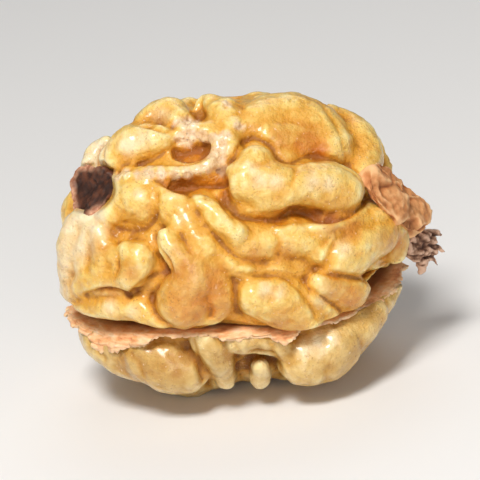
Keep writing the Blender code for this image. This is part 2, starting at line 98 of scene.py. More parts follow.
# ---- folds of the front: places across and up from the middle, then radius; last, how proud
FRONT_UPPER = {
    "saddle": ([(2.3, 5.4, 2.4), (3.4, 4.9, 2.8), (4.6, 4.5, 2.6), (6.0, 4.3, 2.2), (7.2, 4.2, 2.1),
                (8.4, 4.1, 2.4), (9.8, 3.7, 2.7), (10.8, 3.4, 2.4)], 1.3),
    "saddle_top": ([(3.3, 6.9, 1.8), (3.2, 6.1, 2.2), (3.2, 5.3, 2.6)], 1.2),
    "back_lobe": ([(3.4, 10.4, 2.5), (5.2, 10.5, 3.1), (7.2, 10.0, 3.4), (9.0, 8.8, 3.5),
                   (10.0, 7.4, 3.1)], -0.3),
    "back_lobe_low": ([(4.8, 8.9, 2.4), (7.0, 8.4, 2.6), (9.2, 7.6, 2.4)], -0.8),
    "right_fold": ([(11.2, 10.6, 1.3), (12.3, 9.4, 2.0), (13.0, 8.1, 2.3), (13.4, 6.6, 2.3),
                    (13.4, 5.2, 2.0), (13.1, 4.0, 1.5)], 0.2),
    "right_outer": ([(15.1, 7.9, 0.7), (15.7, 6.7, 0.8), (16.2, 5.4, 0.8)], 0.0),
    "knob": ([(-0.3, 12.8, 1.6), (0.5, 12.2, 2.1), (1.1, 11.3, 2.1), (1.3, 10.4, 1.7)], 0.1),
    "left_egg": ([(-9.8, 9.3, 1.8), (-8.9, 9.7, 2.3), (-7.8, 10.1, 2.5), (-6.7, 10.4, 2.3),
                  (-5.7, 10.5, 1.7)], 1.0),
    "pale_behind": ([(-6.9, 11.9, 1.3), (-5.6, 12.5, 1.8), (-4.3, 12.7, 1.9), (-3.4, 12.2, 1.5)], 0.6),
    "cream_back": ([(-12.6, 9.0, 1.0), (-12.1, 9.8, 1.1), (-11.4, 10.5, 1.1), (-10.7, 10.9, 0.9)], -0.1),
    "skin_rim": ([(-9.8, 7.5, 0.8), (-8.2, 7.6, 0.9), (-6.4, 7.4, 0.8), (-4.6, 7.1, 0.7), (-2.8, 7.0, 0.7),
                  (-1.3, 7.2, 0.9), (-0.3, 7.9, 1.0), (0.0, 9.0, 1.0), (-0.6, 10.1, 1.0), (-1.8, 10.7, 1.0),
                  (-3.2, 10.9, 0.9)], -0.1),
    "skin_right": ([(-0.6, 10.2, 1.4), (0.2, 9.4, 1.7), (1.0, 8.5, 1.5)], -0.1),
    "shoulder": ([(-9.7, 5.6, 1.9), (-8.6, 5.2, 2.3), (-7.6, 4.8, 2.2)], 0.5),
    "shoulder_left": ([(-11.2, 6.2, 1.5), (-11.1, 5.2, 1.8), (-10.8, 4.2, 1.6)], 0.3),
    "shoulder_top": ([(-9.7, 6.8, 1.3), (-8.2, 6.8, 1.4), (-6.7, 6.5, 1.3)], 0.1),
    "shoulder_right": ([(-5.6, 5.4, 1.2), (-5.5, 4.5, 1.4), (-5.6, 3.6, 1.2)], 0.2),
    "cream_edge": ([(-12.9, 4.3, 1.8), (-13.6, 3.3, 2.2), (-14.2, 2.1, 2.4), (-14.7, 0.7, 2.3),
                    (-15.2, -0.7, 2.0), (-15.7, -1.8, 1.5), (-16.1, -2.6, 1.1)], 0.1),
    "cream_fill": ([(-12.6, 3.2, 1.6), (-13.0, 1.8, 1.8), (-13.5, 0.4, 1.8), (-13.9, -0.8, 1.5)], 0.1),
    "hook_rim": ([(-12.3, 2.2, 1.1), (-12.0, 1.2, 1.3), (-12.0, 0.1, 1.4), (-12.4, -0.9, 1.3)], 0.4),
    "hook": ([(-9.9, 0.3, 1.2), (-9.0, -0.2, 1.6), (-9.0, -0.9, 1.6), (-9.9, -2.0, 1.4)], 0.8),
    "hook_tail": ([(-11.4, 0.7, 1.1), (-10.7, 0.2, 1.2), (-10.6, -0.9, 1.1), (-11.0, -1.8, 1.0)], 0.2),
    "left_foot": ([(-15.8, -3.0, 1.1), (-14.9, -2.4, 1.5), (-13.9, -1.9, 1.6), (-12.6, -1.9, 1.6),
                   (-11.4, -2.2, 1.5), (-10.5, -2.8, 1.2)], 0.1),
    "seam_fold": ([(-15.3, -4.3, 0.9), (-14.0, -4.5, 1.2), (-12.6, -4.8, 1.4), (-11.0, -5.1, 1.5),
                   (-9.4, -5.4, 1.6), (-8.4, -6.0, 1.6), (-7.6, -6.8, 1.2)], 0.2),
    "drop": ([(-5.9, 1.1, 1.1), (-5.7, 0.4, 1.2), (-5.0, -0.7, 1.5), (-4.2, -1.9, 2.1), (-4.3, -3.1, 2.5),
              (-4.9, -4.4, 2.9), (-5.1, -5.3, 2.9)], 1.2),
    "drop_side": ([(-2.6, -1.8, 1.8), (-2.3, -3.2, 2.3), (-2.1, -4.6, 2.3), (-2.2, -5.9, 2.0),
                   (-2.7, -6.9, 1.5)], 0.1),
    "finger_left": ([(-4.8, 4.2, 1.5), (-4.5, 3.2, 1.7), (-4.0, 2.0, 1.8), (-3.3, 0.8, 1.7),
                     (-2.5, -0.4, 1.5)], 0.3),
    "finger": ([(-2.4, 3.8, 1.1), (-1.7, 3.1, 1.4), (-1.0, 2.3, 1.5), (-0.3, 1.5, 1.4),
                (0.5, 0.7, 1.1)], 0.4),
    "basin_left": ([(0.5, -0.2, 1.5), (1.8, -0.6, 1.9), (3.1, -0.6, 1.9), (4.1, -0.3, 1.6)], -0.3),
    "basin_right": ([(4.9, -0.5, 1.4), (6.0, -0.8, 1.6), (7.2, -1.2, 1.5), (7.9, -2.2, 1.2)], -0.1),
    "rim": ([(-1.9, 1.0, 0.9), (-1.6, -0.4, 1.1), (-0.6, -1.9, 1.1), (0.8, -2.8, 1.0)], -0.4),
    "shelf": ([(8.2, -0.2, 1.4), (9.8, -0.1, 1.5), (11.4, 0.0, 1.6), (13.0, 0.2, 1.7), (14.3, -0.1, 1.7),
               (15.3, -1.1, 1.6), (15.6, -2.3, 1.4), (15.4, -3.4, 1.2)], 0.1),
    "right_hook": ([(14.2, -1.6, 1.7), (12.6, -1.8, 2.1), (11.0, -2.4, 2.4), (9.8, -3.0, 2.1)], 1.0),
    "hook_ridge": ([(9.5, -0.9, 0.5), (8.7, -1.7, 0.55), (8.1, -2.6, 0.5)], -0.1),
    "right_lobe": ([(7.9, -5.1, 1.4), (9.2, -5.7, 1.9), (10.4, -6.5, 2.1), (10.6, -7.5, 1.7)], 0.8),
    "slim_lobe": ([(6.7, -6.2, 0.9), (7.5, -6.9, 1.3), (8.5, -7.8, 1.3), (9.4, -8.6, 0.9)], 0.5),
    "front_egg": ([(1.7, -5.5, 2.2), (2.8, -5.8, 2.6), (4.1, -6.3, 2.7), (5.2, -7.1, 2.2),
                   (6.0, -7.9, 1.7)], 1.0),
}
FRONT_LOWER = {
    "left_belly": ([(-15.2, -7.0, 1.1), (-14.2, -7.8, 1.6), (-12.9, -8.6, 2.0), (-11.2, -9.5, 2.3),
                    (-9.3, -10.2, 2.5)], 0.8),
    "left_belly_low": ([(-9.6, -10.2, 2.3), (-8.2, -10.8, 2.7), (-6.9, -11.3, 2.7),
                        (-6.1, -11.7, 2.4)], 1.6),
    "middle": ([(-3.6, -9.5, 1.8), (-3.0, -10.3, 1.9), (-2.6, -11.5, 1.4), (-2.5, -12.5, 1.2),
                (-2.4, -13.1, 1.1)], 0.1),
    "middle_right": ([(-0.9, -9.8, 1.1), (0.3, -9.7, 1.2), (1.6, -9.9, 1.2), (2.8, -10.3, 1.2),
                      (4.0, -10.8, 1.4), (5.0, -11.2, 1.6)], 0.1),
    "drip": ([(1.0, -12.2, 0.95), (0.9, -12.9, 1.05), (0.75, -13.5, 1.0)], 0.7),
    "belly_egg": ([(5.6, -12.0, 2.9), (6.7, -11.6, 3.4), (7.9, -11.1, 3.2)], 2.7),
    "belly_right": ([(8.0, -11.0, 3.0), (9.4, -10.3, 2.8), (10.8, -9.5, 2.3), (12.2, -8.7, 1.8)], 1.6),
    "right_strip": ([(10.4, -9.7, 1.8), (12.0, -8.8, 1.7), (13.6, -7.7, 1.4), (14.8, -6.6, 1.0)], 0.3),
}
# ---- folds of the far side and rolls along the seam: degrees round, height, radius; last, how proud
BACK_UPPER = [
    ([(-84, -3.6, 1.4), (-60, -3.3, 1.6), (-36, -3.2, 1.7), (-12, -3.3, 1.7), (12, -3.4, 1.7),
      (36, -3.4, 1.7), (60, -3.5, 1.6), (82, -3.8, 1.4)], -1.0),
    ([(96, -4.6, 1.8), (103, -1.0, 2.2), (99, 2.6, 2.4), (108, 5.8, 2.3), (104, 8.6, 2.0)], 0.2),
    ([(121, -4.6, 2.0), (131, -0.6, 2.5), (122, 3.4, 2.6), (133, 6.6, 2.5), (128, 9.4, 2.3)], 0.4),
    ([(147, -4.6, 2.2), (153, -1.4, 2.6), (146, 1.8, 2.4), (158, 4.4, 2.5), (150, 7.6, 2.4)], 0.3),
    ([(176, -4.6, 2.2), (172, -1.0, 2.5), (184, 2.0, 2.7), (178, 5.2, 2.5), (188, 8.0, 2.3)], 0.4),
    ([(200, -4.6, 2.0), (207, -1.6, 2.5), (201, 1.6, 2.4), (212, 4.8, 2.6), (205, 8.2, 2.4)], 0.3),
    ([(226, -4.6, 2.2), (230, -0.8, 2.6), (224, 2.6, 2.4), (236, 5.4, 2.5), (228, 8.8, 2.3)], 0.4),
    ([(248, -4.6, 2.0), (255, -1.2, 2.4), (247, 1.8, 2.4), (257, 4.6, 2.4), (250, 8.0, 2.2)], 0.2),
    ([(270, -4.6, 1.6), (273, -1.2, 1.9), (269, 2.4, 2.0)], -0.7),
    ([(98, 10.8, 2.0), (116, 11.8, 2.3), (138, 11.0, 2.4), (156, 12.0, 2.3)], 0.0),
    ([(176, 10.8, 2.3), (194, 11.8, 2.4), (214, 10.8, 2.3), (232, 11.6, 2.1)], 0.0),
    ([(130, 13.4, 2.2), (170, 13.0, 2.3), (205, 13.6, 2.3), (236, 13.0, 2.1)], -0.2),
]
BACK_LOWER = [
    ([(-82, -6.0, 1.5), (-60, -6.3, 1.7), (-38, -6.4, 1.7), (-16, -6.5, 1.7), (6, -6.5, 1.7),
      (28, -6.4, 1.7), (50, -6.3, 1.7), (68, -6.2, 1.6), (86, -6.0, 1.6)], -1.1),
    ([(8.4, -8.6, 2.2), (36, -8.4, 2.0)], -1.6),
    ([(96, -5.0, 1.8), (105, -8.0, 2.2), (98, -11.0, 2.1)], 0.2),
    ([(120, -5.0, 2.1), (127, -8.4, 2.5), (136, -11.2, 2.2)], 0.3),
    ([(149, -5.0, 2.3), (146, -8.6, 2.5), (158, -11.4, 2.2)], 0.3),
    ([(172, -5.0, 2.2), (180, -8.2, 2.6), (176, -11.4, 2.3)], 0.3),
    ([(199, -5.0, 2.1), (203, -8.6, 2.5), (214, -11.2, 2.2)], 0.3),
    ([(226, -5.0, 2.3), (231, -8.2, 2.5), (238, -11.2, 2.2)], 0.3),
    ([(254, -5.0, 2.0), (250, -8.6, 2.3), (262, -11.0, 2.1)], 0.2),
    ([(276, -5.0, 1.6), (281, -8.4, 1.9), (286, -10.6, 1.8)], -0.1),
]

# ---- folds of the underside: x and y from the middle, height of the lowest point, then radius
UNDERSIDE = [
    [(-9.5, 2.0, 0.9, 2.4), (-7.4, -1.2, 0.0, 2.7), (-6.4, -3.6, -0.45, 2.8), (-3.0, -5.2, 0.6, 2.2)],
    [(9.6, 1.6, 0.9, 2.4), (7.6, -1.4, 0.0, 2.7), (6.4, -3.8, -0.45, 2.8), (2.4, -4.6, 0.5, 2.2)],
    [(-6.0, 4.4, 0.6, 2.4), (-2.4, 6.4, -0.2, 2.6), (1.0, 7.0, -0.45, 2.8), (4.6, 5.6, 0.4, 2.5)],
    [(-3.6, 1.6, 0.4, 2.3), (0.4, 0.6, 0.2, 2.5), (4.0, 2.0, 0.4, 2.3)],
]

# ---- strokes drawn over the front: places across and up, half width, depth in (minus: out)
CREASES = [
    [(0.1, 6.6, .4, .5), (-0.1, 5.2, .5, .6), (0.2, 3.7, .5, .6), (1.2, 2.3, .5, .8), (3.0, 1.6, .5, 1.2),
     (4.8, 1.5, .55, 1.5), (6.4, 1.8, .55, 1.6), (7.8, 1.4, .55, 1.5), (9.4, 0.9, .5, 1.2),
     (11.0, 0.8, .4, .8), (12.4, 1.3, .4, .5), (13.3, 2.5, .3, .3)],
    [(1.1, 7.4, .3, .3), (1.9, 8.7, .4, .45), (3.3, 9.4, .4, .45), (4.8, 8.6, .4, .5), (5.6, 7.2, .5, .6),
     (6.6, 6.7, .4, .5), (8.3, 7.0, .4, .4), (10.0, 6.6, .4, .4), (11.6, 5.6, .4, .4), (12.8, 4.4, .3, .4),
     (13.4, 3.2, .3, .3)],
    [(6.9, 6.3, .35, .3), (6.7, 5.3, .35, .3), (6.3, 4.4, .3, .15)],
    [(0.8, 6.2, .2, .1), (2.4, 6.6, .2, .14), (4.2, 6.9, .2, .1)],
    [(10.4, 12.1, .4, .3), (11.2, 10.4, .5, .35), (11.7, 8.8, .5, .35), (11.9, 7.2, .5, .3),
     (11.9, 5.8, .4, .2)],
    [(2.5, 14.6, .5, .5), (2.6, 13.2, .6, .4), (2.9, 12.2, .4, .2)],
    [(-1.5, 14.4, .8, 1.2), (-1.5, 13.0, .7, 1.1), (-1.1, 12.2, .5, .6)],
    [(-10.9, 10.9, .4, .4), (-11.1, 10.0, .4, .45), (-11.2, 9.1, .4, .5), (-10.7, 8.3, .4, .6),
     (-9.4, 8.2, .4, .5), (-7.8, 8.4, .4, .4), (-6.2, 8.7, .3, .3), (-5.0, 9.3, .3, .3)],
    [(-8.0, 12.6, .3, .4), (-6.6, 12.1, .3, .6), (-5.4, 11.6, .4, .7), (-4.7, 11.1, .3, .4)],
    [(-6.3, 6.7, .3, .4), (-5.2, 6.2, .4, 1.2), (-3.8, 5.8, .6, 1.8), (-2.4, 5.7, .65, 1.9),
     (-1.2, 5.6, .6, 1.5), (-0.2, 5.6, .4, .8)],
    [(-0.4, 5.6, .6, .6), (-0.2, 4.7, .5, .4), (0.1, 3.8, .4, .3)],
    [(-6.2, 5.4, .3, .2), (-6.5, 4.2, .35, .35), (-6.7, 3.3, .45, .45), (-7.4, 2.5, .45, .5),
     (-8.6, 2.2, .45, .4), (-10.0, 2.5, .4, .35), (-11.2, 3.2, .3, .2)],
    [(-9.9, 6.2, .4, .15), (-9.8, 5.2, .4, .2), (-9.6, 4.0, .35, .2)],
    [(-3.4, 5.2, .3, .3), (-3.1, 4.2, .3, .3), (-2.7, 3.0, .3, .25), (-2.1, 1.8, .35, .25),
     (-1.4, 0.6, .4, .3), (-0.6, -0.6, .4, .3), (0.4, -1.6, .4, .2), (1.8, -2.1, .4, .12),
     (3.6, -2.3, .4, .12), (5.4, -2.4, .4, .1), (7.0, -2.9, .3, .05)],
    [(-1.3, 5.0, .4, .35), (-0.3, 3.6, .4, .4), (0.5, 2.2, .4, .35), (0.5, 1.1, .3, .2)],
    [(-4.9, 3.5, .25, .2), (-4.5, 2.6, .3, .2), (-4.2, 1.8, .25, .15)],
    [(-4.5, 1.3, .3, .2), (-4.2, 0.4, .3, .2), (-4.0, -0.4, .25, .12)],
    [(4.2, 0.3, .35, .2), (4.4, -0.8, .4, .25), (4.2, -1.9, .35, .2)],
    [(0.2, -3.2, .3, .15), (1.8, -3.6, .3, .25), (3.8, -3.8, .3, .3), (5.2, -4.7, .3, .3),
     (6.1, -6.0, .3, .3), (6.7, -7.3, .3, .3), (7.0, -8.3, .3, .2)],
    [(-7.0, -0.2, .4, .6), (-6.5, -1.1, .5, 1.4), (-6.2, -1.8, .4, 1.0)],
    [(-6.9, -2.0, .4, .4), (-8.2, -2.5, .4, .35), (-9.3, -3.1, .3, .4), (-10.0, -3.7, .3, .6)],
    [(-14.6, -3.2, .3, .35), (-13.2, -3.0, .3, .8), (-12.0, -3.1, .3, 1.1), (-10.9, -3.6, .3, 1.1),
     (-10.2, -4.0, .25, .7)],
    [(-10.5, 1.4, .3, .2), (-10.8, 0.6, .35, .35), (-10.9, -0.2, .35, .45), (-11.0, -1.0, .35, .4),
     (-11.4, -1.8, .3, .3)],
    [(7.3, -3.8, .3, .15), (8.4, -4.2, .35, .35), (9.5, -4.6, .4, .5), (11.0, -5.0, .4, .5),
     (12.4, -5.3, .3, .4)],
    [(-7.0, 1.8, .3, .2), (-6.9, 0.7, .3, .25), (-6.4, -1.6, .4, .4), (-7.2, -2.9, .4, .45),
     (-8.1, -4.2, .4, .45), (-8.2, -5.6, .4, .45), (-7.6, -6.9, .4, .5), (-6.4, -8.0, .3, .4)],
    [(-3.0, -5.2, .35, .15), (-2.7, -6.2, .4, .3), (-2.9, -7.0, .4, .4)],
    [(-0.4, -3.6, .35, .2), (-0.3, -5.0, .4, .35), (-0.4, -6.4, .4, .4), (0.1, -7.8, .35, .3)],
    [(6.6, -5.3, .25, .25), (8.0, -6.6, .3, .45), (8.9, -7.5, .3, .5), (9.8, -8.7, .3, .4)],
    [(12.2, -5.3, .3, .5), (12.8, -5.3, .45, 1.6), (13.8, -5.4, .4, 1.5)],
    [(13.3, -3.6, .4, .2), (12.9, -4.3, .4, .4), (12.7, -5.0, .4, .6)],
    [(16.3, -3.0, .3, .2), (15.2, -4.0, .4, .2), (14.0, -4.3, .4, .3)],
]
HOLLOWS = [
    [(-3.9, 9.0, .42, .7), (-3.0, 8.8, .54, .9), (-2.0, 8.9, .54, .9), (-1.4, 9.1, .4, .6)],
]
RIDGES = [
    [(4.6, 0.4, .35, -.15), (6.6, 0.5, .4, -.2), (8.6, 0.2, .4, -.2), (10.4, 0.4, .4, -.2),
     (12.2, 1.0, .4, -.2), (13.4, 1.7, .3, -.15)],
    [(9.5, -0.9, .25, -.15), (8.7, -1.8, .3, -.25), (8.1, -2.7, .25, -.2)],
    [(0.6, -2.7, .25, -.1), (2.4, -3.0, .25, -.12), (4.4, -3.2, .25, -.12), (6.0, -3.9, .25, -.1)],
]
LOWER_CREASES = [
    [(-0.4, -12.6, .4, .5), (0.0, -11.6, .5, .7), (1.0, -11.0, .6, .8), (2.0, -11.5, .5, .7),
     (2.4, -12.6, .4, .6)],
    [(-1.0, -12.0, .4, .5), (-1.0, -13.4, .4, .6)],
    [(-5.0, -9.6, .5, .3), (-4.8, -11.0, .5, .5), (-4.5, -12.4, .5, .7), (-4.3, -13.6, .4, .6)],
    [(-1.4, -9.4, .4, .3), (-0.9, -10.4, .4, .35), (-0.8, -11.2, .4, .3)],
    [(2.4, -10.2, .5, .3), (2.4, -11.6, .5, .6), (2.6, -13.0, .5, .7)],
    [(-11.0, -9.6, .5, .3), (-10.4, -10.6, .5, .35), (-10.2, -11.6, .4, .3)],
    [(-14.6, -8.0, .5, .25), (-13.6, -9.6, .4, .25)],
]

# ---- how far the upper half's lower edge is drawn up or down along the front: across, mm up
EDGE_LIFT = ((-18, 0.9), (-15, 1.1), (-12, 1.3), (-9.5, 1.2), (-8, 0.5), (-6.5, -0.2), (-4, -0.2),
             (-3, 0.9), (-1.5, 1.4), (0, 0.8), (1.6, 0.1), (4, -0.1), (7, 0.1), (9, 0.4), (10.5, 0.3),
             (11.6, 0.6), (12.8, 1.8), (14, 1.6), (15.2, 0.9), (17, 0.4))

# ---- the membrane's torn edge: degrees round from the front, then mm past the flesh, mm of droop
TORN_EDGE = ((-180, 0.3, 0.3), (-160, 0.7, 0.5), (-140, 0.2, 0.2), (-118, 0.6, 0.6), (-100, 0.4, 0.3),
             (-90, 0.9, 0.2), (-80, 0.8, 0.3), (-70, 0.6, 0.7), (-60, 0.6, 1.5), (-48, 0.6, 1.8),
             (-40, 0.5, 1.3), (-33, 0.4, 0.8), (-28, 0.1, 0.2), (-18, 0.0, 0.1), (-13, 0.2, 0.2),
             (-8, 0.4, 0.4), (-2, 0.4, 0.4), (2, 0.0, 0.1), (8, 0.0, 0.2), (10.5, 0.5, 0.8),
             (13.5, 0.7, 1.1), (16.5, 0.4, 0.6), (19.5, 0.0, 0.1), (32, 0.0, 0.2), (44, 0.1, 0.3),
             (56, 0.1, 0.5), (68, 0.2, 0.5), (80, 0.2, 0.3), (95, 0.5, 0.4), (115, 0.2, 0.2),
             (135, 0.7, 0.7), (158, 0.3, 0.3), (180, 0.3, 0.3))

# ---- flakes and shreds on the front plane: places across, up and out from the middle
PITH_OUTLINE = [(14.5, 5.6, 7.4), (16.0, 4.7, 5.2), (17.2, 2.8, 4.2), (18.5, 1.4, 2.8), (18.8, 0.0, 2.2),
                (18.2, -1.4, 3.0), (17.3, -2.0, 4.4), (16.3, -1.2, 6.4), (15.2, 0.0, 8.0), (14.3, 1.1, 9.0),
                (13.4, 2.3, 9.8), (13.3, 3.6, 9.9), (13.6, 4.8, 9.0)]
PITH_MIDDLE = (16.0, 2.0, 7.2)
LINING_OUTLINE = [(-12.6, 9.3, 4.6), (-13.6, 8.9, 3.4), (-14.4, 7.8, 3.2), (-14.7, 6.4, 4.0),
                  (-14.8, 5.0, 5.2), (-14.6, 3.5, 6.6), (-13.2, 3.9, 8.2), (-11.4, 5.2, 9.0),
                  (-9.9, 6.9, 8.8), (-10.9, 8.5, 7.0)]
LINING_MIDDLE = (-12.8, 6.8, 5.2)
POCKET = (-12.8, 7.0, 2.8, 2.7)   # middle across and up, half width and half height of the hollow behind it
LIP_START, LIP_WIDTH = -11.2, 0.9     # its pale lip: left of this place across, and how wide
SHREDS = [
    [(16.9, -1.9, 2.4, .60), (17.8, -2.2, 1.7, .80), (18.7, -2.4, 1.1, .75), (19.5, -2.8, .6, .45)],
    [(16.8, -2.8, 2.2, .55), (17.7, -3.2, 1.5, .75), (18.6, -3.5, .9, .60), (19.3, -3.9, .5, .35)],
    [(17.2, -3.4, 1.6, .45), (17.6, -4.1, 1.2, .50), (18.2, -4.6, .8, .35)],
    [(18.9, -2.0, .9, .40), (19.7, -2.0, .5, .36), (20.3, -2.3, .2, .16)],
    [(19.0, -3.0, .7, .40), (19.9, -3.3, .3, .30), (20.5, -3.9, .1, .12)],
    [(18.6, -4.0, .6, .34), (19.3, -4.6, .3, .22), (19.6, -5.2, .1, .10)],
    [(17.9, -4.6, .9, .26), (18.0, -5.2, .7, .16), (17.8, -5.6, .6, .09)],
]

# ---- patches of colour laid over the front, partly the skin's own colour, partly painted highlights and painted shade: places across and up, then radius
# cream skin at the left edge and the back, and painted highlights on crests: the left egg, the saddle, the
# front egg, the right hook and smaller folds
CREAM_AND_HIGHLIGHTS = [(-13.2, 4.0, 1.6), (-14.2, 3.0, 1.9), (-14.9, 1.6, 1.7), (-15.9, 0.4, 1.5), (-16.6, -0.9, 1.2),
         (-17.0, -2.2, 1.0), (-12.4, 9.6, 1.5), (-11.6, 10.6, 1.2), (-12.2, 2.6, 0.8), (-8.5, 10.4, 0.9),
         (-7.3, 10.7, 0.7), (-5.0, 12.9, 0.6), (2.8, 6.4, 0.4), (3.4, 5.2, 0.6), (4.8, 5.0, 0.5),
         (8.4, 4.5, 0.6), (9.8, 4.1, 0.6), (2.6, -5.0, 0.5), (3.8, -5.4, 0.4), (10.4, -2.2, 0.6),
         (-4.4, 2.8, 0.2), (-8.0, 5.6, 0.2), (7.6, -6.8, 0.3), (-12.2, -4.6, 0.5), (-10.2, -5.2, 0.4)]
# amber in the hole, along the crack, under the saddle and low on the back lobe: partly the skin's tone,
# partly painted shade and a painted glow of light through the flesh
AMBER_AND_SHADE = [(-3.9, 8.8, 0.7), (-3.0, 8.7, 0.9), (-2.1, 8.6, 0.9), (-1.6, 8.6, 0.6), (-5.2, 6.2, 0.7),
         (-4.0, 5.9, 0.9), (-2.6, 5.8, 1.0), (-1.2, 5.7, 1.0), (-0.2, 5.5, 0.8), (-0.2, 4.5, 0.7),
         (3.0, 1.7, 0.5), (4.8, 1.4, 0.7), (6.4, 1.6, 0.7), (8.0, 1.3, 0.7), (9.6, 0.9, 0.5),
         (-6.6, -1.3, 0.6), (9.4, 7.5, 1.0), (7.4, 7.6, 0.6)]
# darker skin on the drop and right lobe, and painted shade under the front egg, in the basin and under the
# saddle's shelf
TAN_AND_SHADE = [(-4.4, -2.6, 1.8), (-4.9, -4.4, 2.3), (-5.3, -6.0, 1.8), (-2.4, -3.4, 1.5), (-2.3, -5.4, 1.6),
       (-5.0, -0.4, 0.9), (9.2, -5.6, 1.2), (10.5, -6.8, 1.4), (3.6, -8.2, 1.0), (5.4, -8.8, 0.8),
       (14.6, -2.2, 1.0), (15.6, -2.4, 0.8), (9.4, 0.0, 0.9), (11.2, 0.0, 1.0), (2.0, -1.6, 0.8),
       (5.0, -1.6, 0.8), (-12.0, -2.8, 0.7), (-9.9, -1.6, 0.8), (-12.4, 1.0, 0.8), (6.2, 9.2, 1.0),
       (8.2, 8.6, 1.2), (9.6, 7.2, 0.6)]
# the lower half darker on its left belly and low down: partly darker skin, partly painted shade
LOWER_TAN_AND_SHADE = [(-13.0, -8.2, 1.6), (-11.0, -9.4, 2.0), (-8.6, -10.4, 2.2), (-6.2, -11.4, 2.0),
             (-2.6, -11.2, 1.6), (0.6, -10.0, 1.0), (9.8, -11.4, 1.2), (7.8, -13.4, 1.2), (12.5, -8.6, 0.8)]
# painted highlight, laid in cream, on the upper part of the lower half's big front lobe
LOWER_PAINTED_HIGHLIGHT = [(5.6, -11.0, 0.9), (6.8, -10.8, 0.9), (8.0, -10.4, 0.5)]
TORN = [(-9.9, 7.5, 0.4), (-9.0, 7.7, 0.5), (-8.0, 7.6, 0.4), (-6.8, 7.5, 0.6), (-5.6, 7.3, 0.5),
        (-4.4, 7.0, 0.5), (-3.2, 6.9, 0.45), (-2.2, 7.0, 0.4), (-1.2, 7.2, 0.6), (-0.3, 7.8, 0.8),
        (0.2, 8.6, 0.8), (0.4, 9.3, 0.7), (0.8, 9.9, 0.6), (-0.4, 9.9, 0.5), (-1.3, 10.3, 0.6),
        (-2.4, 10.5, 0.8), (-3.5, 10.4, 0.6), (-2.4, 11.4, 0.8), (-3.4, 11.9, 0.4), (1.4, 13.0, 0.4),
        (0.0, 6.9, 0.5), (2.2, 10.6, 0.4)]

# ---- unevenness: mm high, mm across its lumps, then the seed of its noise
SWELLS = ((0.14, 2.3, 13), (0.10, 1.1, 14), (0.055, 0.55, 15))      # the halves' skin all over
WINDINGS = ((1.0, 8.0, 11), (0.35, 3.6, 12))                        # the furrows' way, as a pattern
RAGS = ((0.26, 0.8, 47), (0.18, 0.4, 48))                           # the skin where it is torn
TEARS = ((0.28, 1.7, 21), (0.28, 0.75, 22), (0.20, 0.32, 23))       # the membrane's edge, in and out
CRINKLES = ((0.26, 0.5, 31), (0.14, 0.22, 32))                      # the membrane's face
PITH_CRUMBS = ((0.20, 2.4, 51), (0.16, 0.9, 52), (0.08, 0.4, 53))
LINING_CRUMBS = ((0.30, 1.3, 61), (0.14, 0.5, 62))
FURROW_DEPTH, FURROW_RUNS = 0.75, 1.9    # winding furrows of the sides and back: mm deep, how close
FURROW_WIDTHS = (("furrow_fine", 16, 0.25), ("furrow_wide", 220, 2.4))   # rounds of averaging, span in mm
PLATES = 3.3, 63                         # broken plates of the flakes: mm across, seed
FIBRE_WAY = 0.84, 0.54                   # the shreds run to the right and down: share across, share down

# ---- colours from raised to sunken, partly painted light and shade where they pale to crests and darken into furrows and cracks: place on the ramp, then red, green and blue of 255
HONEY_AND_FURROW_SHADE = [(0.22, 253, 228, 158), (0.37, 244, 202, 106), (0.50, 232, 174, 68), (0.64, 220, 154, 44),
         (0.86, 158, 92, 8)]
GREYED_HONEY_AND_FURROW_SHADE = [(0.26, 236, 208, 150), (0.46, 206, 166, 94), (0.62, 182, 128, 42), (0.88, 118, 70, 8)]
CREAM_AND_HIGHLIGHT_SKIN = [(0.30, 252, 234, 198), (0.52, 244, 214, 162), (0.80, 214, 156, 82)]
AMBER_AND_SHADE_SKIN = [(0.35, 236, 164, 30), (0.62, 214, 130, 12), (0.95, 168, 88, 4)]
TORN_SKIN = [(0.3, 222, 176, 124), (0.5, 242, 210, 168), (0.7, 252, 232, 204)]
PAPER = [(0.34, 204, 132, 84), (0.45, 238, 176, 122), (0.55, 249, 202, 154), (0.66, 254, 228, 192)]
CORK_AND_CRACK_SHADE = [(0.25, 240, 188, 134), (0.42, 214, 150, 94), (0.56, 192, 124, 70), (0.70, 156, 90, 44),
        (0.88, 96, 50, 22)]
FIBRE_AND_HOLLOW_SHADE = [(0.38, 222, 184, 158), (0.50, 160, 120, 94), (0.60, 106, 70, 52), (0.78, 52, 30, 20)]
LINING = [(0.40, 98, 54, 32), (0.52, 58, 29, 16), (0.66, 30, 15, 9)]
LINING_LIP = [(0.35, 170, 108, 78), (0.6, 218, 164, 130)]
# the crease colour is painted shade, laid only in the deepest creases
SPECK, PALE_CRUMB, VEIN, CREASE_SHADE = (150, 88, 28), (255, 238, 206), (176, 112, 44), (142, 84, 20)
TORN_PAPER, SHADED_PAPER = (250, 212, 170), (134, 78, 40)
UPPER_TINT, LOWER_TINT = (228, 190, 136), (224, 208, 172)    # what the tan-and-shade patches are multiplied by: darker skin in places, painted shade in others
UPPER_GREY, LOWER_GREY = 0.0, 0.62                              # how much greyer each half is


# ======================================================================================
# shaping
# ======================================================================================

def at_front(across, up, out):
    """Place in mm from places across, up and out from the kernel's middle."""
    return CENTRE + ACROSS * across + UP_PLANE * up + OUT_PLANE * out


def front_spot(across, up, radius, proud):
    """Middle of a fold seen from the front, set so that its crest stands proud of the ovoid."""
    left_over = 1 - (across / HALF_LENGTH) ** 2 - (up / HALF_HEIGHT) ** 2
    out = HALF_DEPTH * math.sqrt(max(left_over, 0.0)) + proud - radius
    return at_front(across, up, out)


